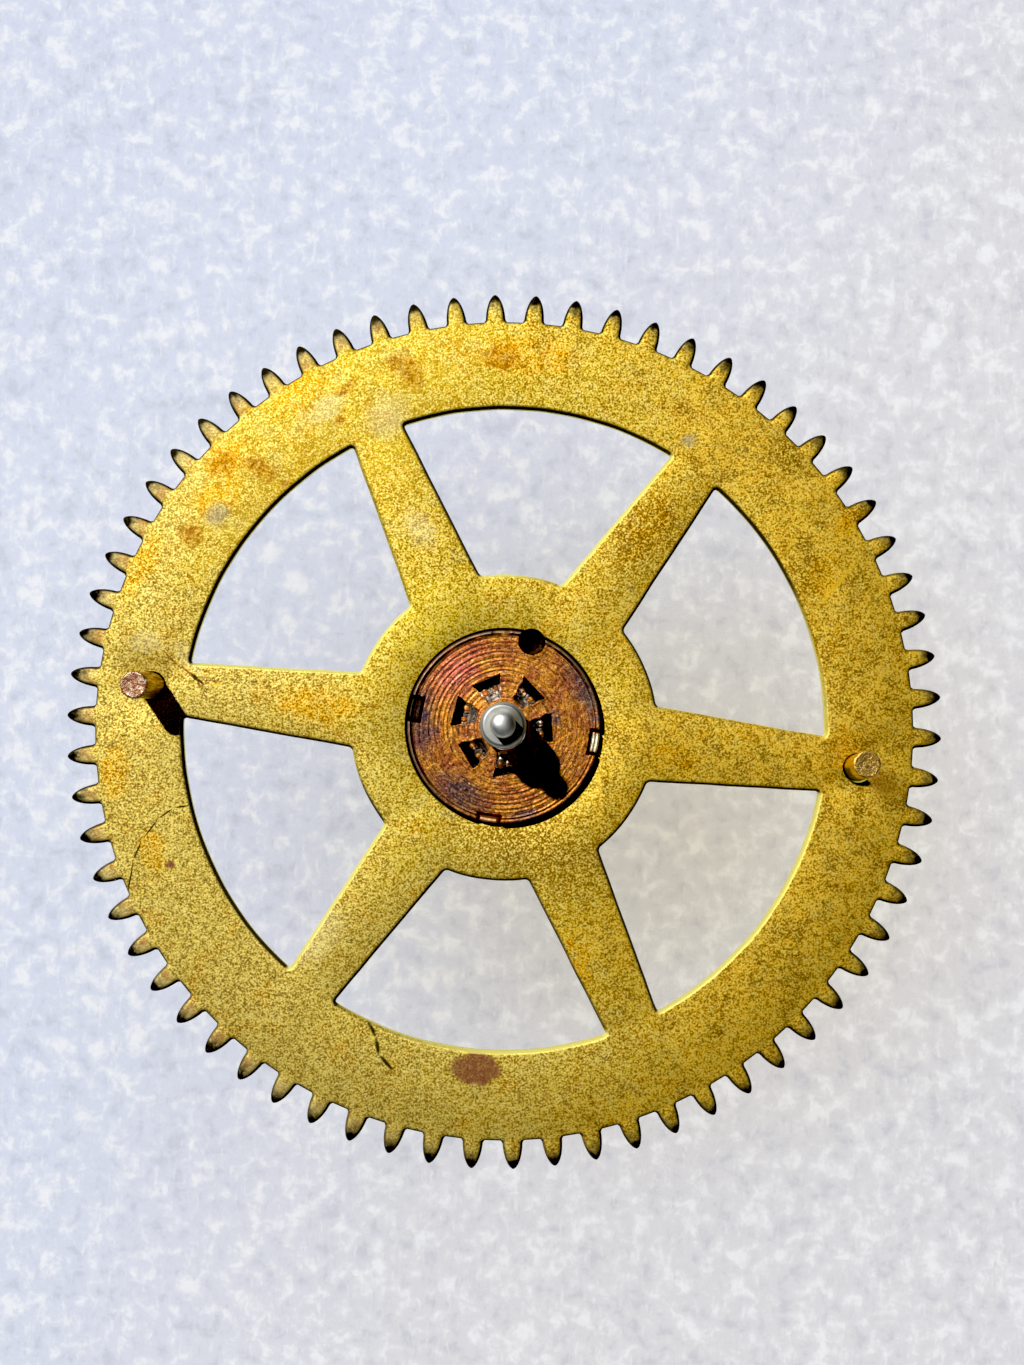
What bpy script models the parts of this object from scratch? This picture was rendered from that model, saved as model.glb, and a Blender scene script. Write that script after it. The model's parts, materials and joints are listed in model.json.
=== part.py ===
"""Clock strike wheel: a 66-tooth brass wheel on a lantern pinion, with its steel arbor and two lifting pins.

The frame: +Z runs along the arbor from its rear pivot to its front one, the origin is on the arbor's axis in
the plane of the rear shoulder, and X and Y lie along the wheel. Sizes are in metres, written as MM multiples.
"""

import math

import bmesh
import bpy
from mathutils import Matrix, Vector

MM = 0.001
SEAT_GAP = 0.03 * MM  # left between two pieces that are pressed or riveted together

# Wheel: cycloidal clock gearing, module 0.6
TOOTH_COUNT = 66
TIP_RADIUS = 20.63 * MM
ROOT_RADIUS = 19.28 * MM
TOOTH_HALF_WIDTH = 0.47 * MM
TOOTH_TAPER = 1.6  # how late the flank starts to lean in
TOOTH_NOSE = 0.6  # how blunt the tip is
TOOTH_STATIONS = (0.0, 0.25, 0.5, 0.72, 0.9)  # shares of the tooth's height, up to the rounded nose
FIRST_TOOTH = math.radians(4.25)
WHEEL_FRONT = 30.0 * MM
WHEEL_THICKNESS = 1.4 * MM
RIM_INNER_RADIUS = 15.11 * MM
HUB_RADIUS = 7.22 * MM
ARM_COUNT = 6
FIRST_ARM = math.radians(53.7)
ARM_HALF_AT_HUB = 1.79 * MM
ARM_HALF_AT_RIM = 1.30 * MM

# Arbor: 2.1 mm steel with a pivot at each end
ARBOR_RADIUS = 1.05 * MM
PIVOT_RADIUS = 0.575 * MM
PIVOT_LENGTH = 1.8 * MM
FRONT_SHOULDER = 34.0 * MM
SHOULDER_RADIUS = 0.82 * MM
SHOULDER_TAPER = 0.3 * MM
PIVOT_DOME = 0.2 * MM

# Front shroud: the collet that the wheel is staked on, which also holds the trundles' front ends
COLLET_RADIUS = 4.57 * MM
COLLET_FRONT = 30.5 * MM
COLLET_CHAMFER = 0.1 * MM
FLANGE_RADIUS = 5.6 * MM
FLANGE_REAR = 27.2 * MM
FLANGE_CHAMFER = 0.25 * MM

# Rear shroud
REAR_RADIUS = 3.6 * MM
REAR_FRONT_FACE = 20.2 * MM
REAR_THICKNESS = 1.8 * MM
BOSS_RADIUS = 2.0 * MM
BOSS_LENGTH = 0.9 * MM
REAR_CHAMFER = 0.15 * MM

# Trundles: seven steel wires on a 4.2 mm circle
TRUNDLE_COUNT = 7
TRUNDLE_CIRCLE = 2.1 * MM
TRUNDLE_RADIUS = 0.45 * MM
TRUNDLE_CLEARANCE = 0.035 * MM
TRUNDLE_CHAMFER = 0.06 * MM
TRUNDLE_REAR = 18.9 * MM
TRUNDLE_FRONT = 29.25 * MM
TRUNDLE_END_SHAKE = 0.05 * MM
FIRST_TRUNDLE = math.radians(8.4)

# Stakes: seven punched pockets that close the trundle holes, and four at the collet's edge
POCKET_INNER_RADIUS = 1.2 * MM
POCKET_OUTER_RADIUS = 2.34 * MM
POCKET_INNER_WIDTH = 0.85 * MM
POCKET_OUTER_WIDTH = 1.45 * MM
POCKET_INNER_DEPTH = 0.1 * MM
POCKET_OUTER_DEPTH = 0.42 * MM
EDGE_STAKE_DEPTH = 0.2 * MM
EDGE_STAKES = (  # angle in degrees, width along the edge, reach in from the edge
    (92.0, 0.80 * MM, 0.25 * MM),
    (169.0, 1.25 * MM, 0.75 * MM),
    (261.0, 1.15 * MM, 0.50 * MM),
    (350.5, 1.20 * MM, 0.65 * MM),
)

# The drilling on the joint between collet and wheel
DRILLING_RADIUS = 0.6 * MM
DRILLING_CIRCLE = 4.18 * MM
DRILLING_ANGLE = math.radians(72.0)
DRILLING_DEPTH = 0.75 * MM

# Lifting pins: riveted in two opposite arms where they meet the rim
LIFTING_PIN_RADIUS = 0.625 * MM
LIFTING_PIN_CIRCLE = 16.7 * MM
LIFTING_PIN_HEIGHT = 3.0 * MM
LIFTING_PIN_CHAMFER = 0.06 * MM
LIFTING_PIN_ARMS = (2, 5)
RIVET_RADIUS = 0.85 * MM
RIVET_HEIGHT = 0.18 * MM

ROUND_SIDES = 36
FINE_SIDES = 16
WINDOW_OUTER_STEPS = 14
WINDOW_INNER_STEPS = 6
SHARP_ANGLE = math.radians(35)
CUTTER_REACH = 1.0 * MM  # how far a cutter runs past the face that it enters

BRASS = ((0.76, 0.53, 0.13), 1.0, 0.38)
COPPER_BROWN = ((0.56, 0.25, 0.10), 1.0, 0.42)
DULL_BRASS = ((0.60, 0.42, 0.16), 1.0, 0.45)
STEEL = ((0.58, 0.60, 0.58), 1.0, 0.22)
BLUED_STEEL = ((0.33, 0.34, 0.36), 1.0, 0.30)


def clear_scene():
    for old in list(bpy.data.objects):
        bpy.data.objects.remove(old, do_unlink=True)


def make_material(name, look):
    colour, metallic, roughness = look
    material = bpy.data.materials.new(name)
    material.use_nodes = True
    shader = material.node_tree.nodes["Principled BSDF"]
    shader.inputs["Base Color"].default_value = (*colour, 1.0)
    shader.inputs["Metallic"].default_value = metallic
    shader.inputs["Roughness"].default_value = roughness
    return material


def polar(radius, angle, z=0.0):
    return Vector((radius * math.cos(angle), radius * math.sin(angle), z))


def mesh_of(bm, name):
    """Finishes a bmesh as a mesh with outward normals, smooth on its round faces."""
    bmesh.ops.recalc_face_normals(bm, faces=bm.faces)
    mesh = bpy.data.meshes.new(name)
    bm.to_mesh(mesh)
    bm.free()
    mesh.shade_smooth()
    mesh.set_sharp_from_angle(angle=SHARP_ANGLE)
    return mesh


def place(name, mesh, material, parent, location=(0.0, 0.0, 0.0)):
    if not mesh.materials:
        mesh.materials.append(material)
    piece = bpy.data.objects.new(name, mesh)
    bpy.context.scene.collection.objects.link(piece)
    piece.parent = parent
    piece.location = location
    return piece


def cut(piece, name, bm):
    """Takes the closed shapes in bm out of the piece."""
    cutter = bpy.data.objects.new(name, mesh_of(bm, name))
    bpy.context.scene.collection.objects.link(cutter)
    cutter.parent = piece.parent
    cutter.hide_render = True
    cutter.display_type = "WIRE"
    boolean = piece.modifiers.new(name, "BOOLEAN")
    boolean.operation = "DIFFERENCE"
    boolean.solver = "EXACT"
    boolean.object = cutter


def add_turned(bm, profile, sides, centre=(0.0, 0.0), closed=False):
    """Turns a profile of (radius, z) points about the vertical through centre. A radius of 0 closes an end."""
    rings = []
    for radius, z in profile:
        count = 1 if radius == 0 else sides
        angles = [2 * math.pi * i / sides for i in range(count)]
        middle = Vector((*centre, 0.0))
        rings.append([bm.verts.new(middle + polar(radius, a, z)) for a in angles])
    pairs = list(zip(rings, rings[1:]))
    if closed:
        pairs.append((rings[-1], rings[0]))
    for low, high in pairs:
        for i in range(sides):
            j = (i + 1) % sides
            corners = [low[i % len(low)], low[j % len(low)], high[j % len(high)], high[i % len(high)]]
            bm.faces.new(list(dict.fromkeys(corners)))


def add_rod(bm, radius, low, high, centre, sides):
    add_turned(bm, [(0, low), (radius, low), (radius, high), (0, high)], sides, centre)


def add_block(bm, angle, inner, outer):
    """A wedge standing on a radius at the angle. inner and outer give (radius, width, depth line, top) of its ends."""
    turn = Matrix.Rotation(angle, 3, "Z")
    corners = []
    for radius, width, low, high in (inner, outer):
        for side, z in ((-0.5, low), (0.5, low), (0.5, high), (-0.5, high)):
            corners.append(bm.verts.new(turn @ Vector((radius, side * width, z))))
    a, b, c, d, e, f, g, h = corners
    for face in ((a, b, c, d), (e, h, g, f), (a, e, f, b), (b, f, g, c), (c, g, h, d), (d, h, e, a)):
        bm.faces.new(face)


def tooth_outline(middle):
    """One tooth from its left root corner over the nose to its right root corner, anticlockwise round the wheel."""
    height = TIP_RADIUS - ROOT_RADIUS
    flank = []
    for share in TOOTH_STATIONS:
        radius = ROOT_RADIUS + share * height
        half = TOOTH_HALF_WIDTH * (1 - share**TOOTH_TAPER) ** TOOTH_NOSE
        flank.append((radius, math.asin(half / radius)))
    rising = [polar(radius, middle - turn) for radius, turn in flank]
    falling = [polar(radius, middle + turn) for radius, turn in reversed(flank)]
    return rising + [polar(TIP_RADIUS, middle)] + falling


def toothed_outline():
    pitch = 2 * math.pi / TOOTH_COUNT
    return [point for k in range(TOOTH_COUNT) for point in tooth_outline(FIRST_TOOTH + k * pitch)]


def arc(radius, start, end, steps):
    return [polar(radius, start + (end - start) * i / steps) for i in range(steps + 1)]


def window_outline(k):
    """The opening between arm k and the next one: a sector whose straight sides follow the tapered arms."""
    start = FIRST_ARM + 2 * math.pi * k / ARM_COUNT
    end = start + 2 * math.pi / ARM_COUNT
    at_hub = math.asin(ARM_HALF_AT_HUB / HUB_RADIUS)
    at_rim = math.asin(ARM_HALF_AT_RIM / RIM_INNER_RADIUS)
    outer = arc(RIM_INNER_RADIUS, start + at_rim, end - at_rim, WINDOW_OUTER_STEPS)
    inner = arc(HUB_RADIUS, end - at_hub, start + at_hub, WINDOW_INNER_STEPS)
    return outer + inner


def circle_outline(radius, centre, sides):
    return [centre + polar(radius, 2 * math.pi * i / sides) for i in range(sides)]


def lifting_pin_places():
    for arm in LIFTING_PIN_ARMS:
        yield polar(LIFTING_PIN_CIRCLE, FIRST_ARM + 2 * math.pi * arm / ARM_COUNT)


def plate(outlines, low, thickness):
    """A flat plate bounded by the first outline and pierced by the others."""
    bm = bmesh.new()
    for outline in outlines:
        corners = [bm.verts.new((point.x, point.y, low)) for point in outline]
        for i, corner in enumerate(corners):
            bm.edges.new((corner, corners[(i + 1) % len(corners)]))
    bmesh.ops.triangle_fill(bm, use_beauty=True, edges=bm.edges[:], normal=(0, 0, 1))
    grown = bmesh.ops.extrude_face_region(bm, geom=bm.faces[:], use_keep_orig=True)
    raised = [item for item in grown["geom"] if isinstance(item, bmesh.types.BMVert)]
    bmesh.ops.translate(bm, verts=raised, vec=(0, 0, thickness))
    return bm


def drilling(bm):
    centre = polar(DRILLING_CIRCLE, DRILLING_ANGLE).to_2d()
    floor = WHEEL_FRONT - DRILLING_DEPTH
    add_rod(bm, DRILLING_RADIUS, floor, COLLET_FRONT + CUTTER_REACH, centre, FINE_SIDES)


def build_wheel(parent):
    outlines = [toothed_outline()]
    outlines += [window_outline(k) for k in range(ARM_COUNT)]
    outlines.append(circle_outline(COLLET_RADIUS + SEAT_GAP, Vector(), ROUND_SIDES))
    for centre in lifting_pin_places():
        outlines.append(circle_outline(LIFTING_PIN_RADIUS + SEAT_GAP, centre, FINE_SIDES))
    bm = plate(outlines, WHEEL_FRONT - WHEEL_THICKNESS, WHEEL_THICKNESS)
    wheel = place("wheel", mesh_of(bm, "wheel"), make_material("wheel_brass", BRASS), parent)
    cutter = bmesh.new()
    drilling(cutter)
    cut(wheel, "wheel_drilling", cutter)


def build_arbor(parent):
    dome_radius = PIVOT_RADIUS * 0.6
    rear_tip = -PIVOT_LENGTH
    front_tip = FRONT_SHOULDER + PIVOT_LENGTH
    profile = [
        (0, rear_tip),
        (dome_radius, rear_tip + 0.25 * PIVOT_DOME),
        (PIVOT_RADIUS, rear_tip + PIVOT_DOME),
        (PIVOT_RADIUS, 0.0),
        (SHOULDER_RADIUS, 0.0),
        (ARBOR_RADIUS, SHOULDER_TAPER),
        (ARBOR_RADIUS, FRONT_SHOULDER - SHOULDER_TAPER),
        (SHOULDER_RADIUS, FRONT_SHOULDER),
        (PIVOT_RADIUS, FRONT_SHOULDER),
        (PIVOT_RADIUS, front_tip - PIVOT_DOME),
        (dome_radius, front_tip - 0.25 * PIVOT_DOME),
        (0, front_tip),
    ]
    bm = bmesh.new()
    add_turned(bm, profile, ROUND_SIDES)
    place("arbor", mesh_of(bm, "arbor"), make_material("arbor_steel", STEEL), parent)


def trundle_angles():
    return [FIRST_TRUNDLE + 2 * math.pi * k / TRUNDLE_COUNT for k in range(TRUNDLE_COUNT)]


def trundle_holes(bm, low, high):
    for angle in trundle_angles():
        centre = polar(TRUNDLE_CIRCLE, angle).to_2d()
        add_rod(bm, TRUNDLE_RADIUS + TRUNDLE_CLEARANCE, low, high, centre, FINE_SIDES)


def stakes(bm):
    """The punched pockets over the trundles and along the collet's edge."""
    top = COLLET_FRONT + CUTTER_REACH
    for angle in trundle_angles():
        inner = (POCKET_INNER_RADIUS, POCKET_INNER_WIDTH, COLLET_FRONT - POCKET_INNER_DEPTH, top)
        outer = (POCKET_OUTER_RADIUS, POCKET_OUTER_WIDTH, COLLET_FRONT - POCKET_OUTER_DEPTH, top)
        add_block(bm, angle, inner, outer)
    floor = COLLET_FRONT - EDGE_STAKE_DEPTH
    for degrees, width, reach in EDGE_STAKES:
        inner = (COLLET_RADIUS - reach, width, floor, top)
        outer = (COLLET_RADIUS + CUTTER_REACH, width, floor, top)
        add_block(bm, math.radians(degrees), inner, outer)


def build_front_shroud(parent):
    bore = ARBOR_RADIUS + SEAT_GAP
    seat = WHEEL_FRONT - WHEEL_THICKNESS - SEAT_GAP
    profile = [
        (bore, FLANGE_REAR),
        (FLANGE_RADIUS - FLANGE_CHAMFER, FLANGE_REAR),
        (FLANGE_RADIUS, FLANGE_REAR + FLANGE_CHAMFER),
        (FLANGE_RADIUS, seat),
        (COLLET_RADIUS, seat),
        (COLLET_RADIUS, COLLET_FRONT - COLLET_CHAMFER),
        (COLLET_RADIUS - COLLET_CHAMFER, COLLET_FRONT),
        (bore, COLLET_FRONT),
    ]
    bm = bmesh.new()
    add_turned(bm, profile, ROUND_SIDES, closed=True)
    mesh = mesh_of(bm, "front_shroud")
    shroud = place("front_shroud", mesh, make_material("shroud_brass", COPPER_BROWN), parent)
    cutter = bmesh.new()
    trundle_holes(cutter, FLANGE_REAR - CUTTER_REACH, TRUNDLE_FRONT + TRUNDLE_END_SHAKE)
    cut(shroud, "front_trundle_holes", cutter)
    cutter = bmesh.new()
    stakes(cutter)
    cut(shroud, "stakes", cutter)
    cutter = bmesh.new()
    drilling(cutter)
    cut(shroud, "shroud_drilling", cutter)


def build_rear_shroud(parent):
    bore = ARBOR_RADIUS + SEAT_GAP
    rear_face = REAR_FRONT_FACE - REAR_THICKNESS
    boss_end = rear_face - BOSS_LENGTH
    profile = [
        (bore, boss_end),
        (BOSS_RADIUS - REAR_CHAMFER, boss_end),
        (BOSS_RADIUS, boss_end + REAR_CHAMFER),
        (BOSS_RADIUS, rear_face),
        (REAR_RADIUS - REAR_CHAMFER, rear_face),
        (REAR_RADIUS, rear_face + REAR_CHAMFER),
        (REAR_RADIUS, REAR_FRONT_FACE - REAR_CHAMFER),
        (REAR_RADIUS - REAR_CHAMFER, REAR_FRONT_FACE),
        (bore, REAR_FRONT_FACE),
    ]
    bm = bmesh.new()
    add_turned(bm, profile, ROUND_SIDES, closed=True)
    mesh = mesh_of(bm, "rear_shroud")
    shroud = place("rear_shroud", mesh, make_material("rear_shroud_brass", DULL_BRASS), parent)
    cutter = bmesh.new()
    trundle_holes(cutter, TRUNDLE_REAR - TRUNDLE_END_SHAKE, REAR_FRONT_FACE + CUTTER_REACH)
    cut(shroud, "rear_trundle_holes", cutter)


def build_trundles(parent):
    """Each trundle's own origin is on the axis that it rolls about, at its rear end."""
    length = TRUNDLE_FRONT - TRUNDLE_REAR
    profile = [
        (0, 0.0),
        (TRUNDLE_RADIUS - TRUNDLE_CHAMFER, 0.0),
        (TRUNDLE_RADIUS, TRUNDLE_CHAMFER),
        (TRUNDLE_RADIUS, length - TRUNDLE_CHAMFER),
        (TRUNDLE_RADIUS - TRUNDLE_CHAMFER, length),
        (0, length),
    ]
    bm = bmesh.new()
    add_turned(bm, profile, FINE_SIDES)
    mesh = mesh_of(bm, "trundle")
    steel = make_material("trundle_steel", BLUED_STEEL)
    for number, angle in enumerate(trundle_angles(), start=1):
        place(f"trundle_{number}", mesh, steel, parent, polar(TRUNDLE_CIRCLE, angle, TRUNDLE_REAR))


def build_lifting_pins(parent):
    """Each pin stands on its own origin in the plane of the wheel's front face."""
    back = -WHEEL_THICKNESS - SEAT_GAP
    profile = [
        (0, back - RIVET_HEIGHT),
        (RIVET_RADIUS * 0.7, back - RIVET_HEIGHT * 0.8),
        (RIVET_RADIUS, back),
        (LIFTING_PIN_RADIUS, back),
        (LIFTING_PIN_RADIUS, LIFTING_PIN_HEIGHT - LIFTING_PIN_CHAMFER),
        (LIFTING_PIN_RADIUS - LIFTING_PIN_CHAMFER, LIFTING_PIN_HEIGHT),
        (0, LIFTING_PIN_HEIGHT),
    ]
    bm = bmesh.new()
    add_turned(bm, profile, FINE_SIDES)
    mesh = mesh_of(bm, "lifting_pin")
    brass = make_material("pin_brass", DULL_BRASS)
    for number, centre in enumerate(lifting_pin_places(), start=1):
        place(f"lifting_pin_{number}", mesh, brass, parent, (centre.x, centre.y, WHEEL_FRONT))


def build():
    clear_scene()
    axis = bpy.data.objects.new("arbor_axis", None)
    bpy.context.scene.collection.objects.link(axis)
    build_wheel(axis)
    build_front_shroud(axis)
    build_rear_shroud(axis)
    build_arbor(axis)
    build_trundles(axis)
    build_lifting_pins(axis)


build()
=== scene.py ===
"""Looks of the clock wheel with its lantern pinion: detailed meshes, procedural finishes, lights and camera.

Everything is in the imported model's frame, in metres, with sizes written as MM multiples. Places in the
finishes are millimetres in the wheel's plane, measured from the arbor's axis.
"""

import json
import math
import random

import bmesh
import bpy
import numpy as np
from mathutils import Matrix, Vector, geometry, noise

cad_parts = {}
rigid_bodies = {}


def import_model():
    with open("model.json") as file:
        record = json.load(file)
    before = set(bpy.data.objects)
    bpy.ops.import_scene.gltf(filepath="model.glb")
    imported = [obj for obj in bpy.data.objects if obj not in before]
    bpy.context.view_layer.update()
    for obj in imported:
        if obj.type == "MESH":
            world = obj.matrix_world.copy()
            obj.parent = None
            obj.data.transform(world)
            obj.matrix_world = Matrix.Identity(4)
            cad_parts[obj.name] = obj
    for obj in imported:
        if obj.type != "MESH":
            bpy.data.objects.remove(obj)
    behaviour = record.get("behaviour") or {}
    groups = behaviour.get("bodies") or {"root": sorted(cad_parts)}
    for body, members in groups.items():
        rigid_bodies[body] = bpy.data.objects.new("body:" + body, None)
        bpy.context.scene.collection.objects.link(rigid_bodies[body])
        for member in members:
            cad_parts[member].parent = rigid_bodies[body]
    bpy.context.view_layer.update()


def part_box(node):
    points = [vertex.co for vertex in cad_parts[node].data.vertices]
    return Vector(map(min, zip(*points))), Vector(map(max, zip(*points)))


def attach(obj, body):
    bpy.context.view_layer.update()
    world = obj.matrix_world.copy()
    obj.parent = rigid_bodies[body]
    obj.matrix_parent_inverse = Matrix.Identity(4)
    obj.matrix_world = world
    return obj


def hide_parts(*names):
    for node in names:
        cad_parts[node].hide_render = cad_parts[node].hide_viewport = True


MM = 0.001
WHOLE = 2 * math.pi
INSIDE = 1  # output type of the triangulation: only what lies inside the outlines

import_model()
draw = random.Random(66)

# Levels along the arbor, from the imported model
WHEEL_BACK, WHEEL_FRONT = (corner.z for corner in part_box("wheel"))
FLANGE_REAR, COLLET_FRONT = (corner.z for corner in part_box("front_shroud"))
BOSS_END, REAR_FRONT_FACE = (corner.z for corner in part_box("rear_shroud"))
ARBOR_REAR, ARBOR_FRONT = (corner.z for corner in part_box("arbor"))
TRUNDLE_REAR, TRUNDLE_FRONT = (corner.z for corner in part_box("trundle_1"))
PIN_BACK, PIN_TIP = (corner.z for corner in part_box("lifting_pin_1"))

# Wheel
TOOTH_COUNT = 66
TIP_RADIUS = 20.62 * MM
ROOT_RADIUS = 19.28 * MM
TOOTH_HALF_WIDTH = 0.47 * MM
TOOTH_TAPER = 2.0
TOOTH_NOSE = 0.58
TOOTH_STATIONS = (0.0, 0.04, 0.09, 0.15, 0.25, 0.36, 0.48, 0.6, 0.7, 0.79, 0.87, 0.93, 0.97, 0.992)
FIRST_TOOTH = math.radians(4.25)
ROOT_FILLET = 0.08 * MM
FILLET_SHARE = 0.12  # share of the tooth's height that the root fillet takes
RIM_INNER_RADIUS = 15.11 * MM
HUB_RADIUS = 7.22 * MM
ARM_COUNT = 6
FIRST_ARM = math.radians(53.7)
ARM_HALF_AT_HUB = 1.79 * MM
ARM_HALF_AT_RIM = 1.30 * MM
WINDOW_DRAFT = 0.22 * MM  # how much wider a window is at the back than at the front
WINDOW_CORNER = 0.20 * MM
FILED_WAVE = 0.022 * MM  # how far the hand-filed window edges wander
PLATE_EDGE = 0.16 * MM  # edge rounded over by tumbling
SEAT_GAP = 0.03 * MM

KEY_AZIMUTH = math.radians(131.0)  # walls and edges that face this way get a painted highlight, those facing away painted shade

# Collet face
COLLET_RADIUS = 4.57 * MM
FLANGE_RADIUS = 5.6 * MM
FLANGE_CHAMFER = 0.25 * MM
DRILLING_RADIUS = 0.6 * MM
DRILLING_CIRCLE = 4.18 * MM
DRILLING_ANGLE = math.radians(72.0)
DRILLING_FLOOR = WHEEL_FRONT - 0.75 * MM

# Arbor
ARBOR_RADIUS = 1.05 * MM
PIVOT_RADIUS = 0.575 * MM
PIVOT_LENGTH = 1.8 * MM
SHOULDER_RADIUS = 0.82 * MM
SHOULDER_TAPER = 0.3 * MM

# Trundles and rear shroud
TRUNDLE_COUNT = 7
TRUNDLE_CIRCLE = 2.1 * MM
TRUNDLE_RADIUS = 0.45 * MM
TRUNDLE_HOLE = 0.485 * MM
FIRST_TRUNDLE = math.radians(8.4)
REAR_RADIUS = 3.6 * MM
REAR_THICKNESS = 1.8 * MM
BOSS_RADIUS = 2.0 * MM

# Lifting pins
LIFTING_PIN_RADIUS = 0.625 * MM
LIFTING_PIN_CIRCLE = 16.7 * MM
LIFTING_PIN_ARMS = (2, 5)
RIVET_RADIUS = 0.85 * MM


# ---------------------------------------------------------------- mesh helpers


def polar(radius, angle, z=0.0):
    return Vector((radius * math.cos(angle), radius * math.sin(angle), z))


def smoothstep(low, high, value):
    share = np.clip((value - low) / (high - low), 0, 1)
    return share * share * (3 - 2 * share)


def add_object(name, data):
    added = bpy.data.objects.new(name, data)
    bpy.context.scene.collection.objects.link(added)
    return added


def mesh_from(name, bm, material):
    mesh = bpy.data.meshes.new(name)
    bm.to_mesh(mesh)
    bm.free()
    mesh.materials.append(material)
    return mesh


def finish_piece(name, bm, material, body, sharp=38):
    """Turns a bmesh into a piece that rides on a body and stands for the CAD node of its name."""
    bmesh.ops.recalc_face_normals(bm, faces=bm.faces)
    mesh = mesh_from(name, bm, material)
    mesh.shade_smooth()
    mesh.set_sharp_from_angle(angle=math.radians(sharp))
    piece = add_object("piece_" + name, mesh)
    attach(piece, body)
    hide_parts(name)
    return piece


def add_loop(bm, points):
    return [bm.verts.new(point) for point in points]


def bridge(bm, low, high):
    """Joins two loops of equally many vertices with quads. A loop of one vertex closes a pole."""
    count = max(len(low), len(high))
    for i in range(count):
        j = (i + 1) % count
        corners = [low[i % len(low)], low[j % len(low)], high[j % len(high)], high[i % len(high)]]
        bm.faces.new(list(dict.fromkeys(corners)))


def bridge_all(bm, loops):
    for low, high in zip(loops, loops[1:]):
        bridge(bm, low, high)


def cap(bm, loops):
    """Fills the flat region inside the first loop and outside the others, and returns its faces."""
    corners, outlines = [], []
    for loop in loops:
        numbers = list(range(len(corners), len(corners) + len(loop)))
        corners += loop
        swept = sum(a.co.x * b.co.y - b.co.x * a.co.y for a, b in zip(loop, loop[1:] + loop[:1]))
        outlines.append(numbers if swept > 0 else numbers[::-1])
    flat = [corner.co.to_2d() / MM for corner in corners]
    _, _, triangles, origins, _, owners = geometry.delaunay_2d_cdt(flat, [], outlines, INSIDE, 1e-6)
    filled = [triangle for triangle, owner in zip(triangles, owners) if list(owner) == [0]]
    return [bm.faces.new([corners[origins[i][0]] for i in triangle]) for triangle in filled]


def rounded(radius, z, edge, near=0.3):
    """Profile points from a flat face, at z, over a worn edge to the side. A negative edge lies below z."""
    size = abs(edge)
    return [(radius - size, z), (radius - near * size, z + 0.3 * edge), (radius, z + edge)]


def ring(radius, z, sides, centre=(0.0, 0.0), wobble=0.0, seed=0.0):
    points = []
    for i in range(sides):
        angle = WHOLE * i / sides
        off = wobble * noise.noise(Vector((2.5 * math.cos(angle), 2.5 * math.sin(angle), seed)))
        points.append(Vector((*centre, z)) + polar(radius + off, angle))
    return points


def turned(bm, profile, sides, centre=(0.0, 0.0), wobble=0.0):
    """Turns (radius, z) points about the vertical through centre and returns the loops."""
    loops = []
    for number, (radius, z) in enumerate(profile):
        if radius == 0:
            loops.append(add_loop(bm, [Vector((*centre, z))]))
        else:
            loops.append(add_loop(bm, ring(radius, z, sides, centre, wobble, 7.3 * number)))
    bridge_all(bm, loops)
    return loops


def inset(points, distance):
    """Moves a closed outline to its left by the distance, along the corners' bisectors."""
    moved = []
    for i, point in enumerate(points):
        back = (point - points[i - 1]).to_2d().normalized()
        ahead = (points[(i + 1) % len(points)] - point).to_2d().normalized()
        left = Vector((-(back + ahead).y, (back + ahead).x))
        if left.length < 1e-6:
            left = Vector((-back.y, back.x))
        left.normalize()
        reach = distance / max(0.45, left.dot(Vector((-back.y, back.x))))
        moved.append(point + Vector((*(left * reach), 0.0)))
    return moved


def round_corner(before, corner, after, radius, steps=5):
    """The points of an arc that rounds a corner, starting and ending the radius away from it."""
    to_before = (before - corner).normalized() * radius
    to_after = (after - corner).normalized() * radius
    points = []
    for i in range(steps + 1):
        t = i / steps
        points.append(corner + to_before * (1 - t) ** 2 + to_after * t**2)
    return points


# ---------------------------------------------------------------- wheel


def tooth_outline(number, reach, tip, lean, turn):
    """One tooth and half the gaps beside it, drawn in from the true outline by the reach."""
    middle = FIRST_TOOTH + WHOLE * number / TOOTH_COUNT + turn
    sides = ([], [])
    for share in TOOTH_STATIONS:
        radius = ROOT_RADIUS + share * (tip - ROOT_RADIUS) - reach
        half = (TOOTH_HALF_WIDTH - reach) * (1 - share**TOOTH_TAPER) ** TOOTH_NOSE
        if share < FILLET_SHARE:
            half += (ROOT_FILLET + reach) * (1 - share / FILLET_SHARE) ** 2
        for side, points in zip((-1, 1), sides):
            points.append(polar(radius, middle + (side * half + lean * share) / radius))
    return sides[0] + [polar(tip - reach, middle + lean / tip)] + sides[1][::-1]


def wheel_outline(teeth, reach):
    return [point for number, tooth in enumerate(teeth) for point in tooth_outline(number, reach, *tooth)]


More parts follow.
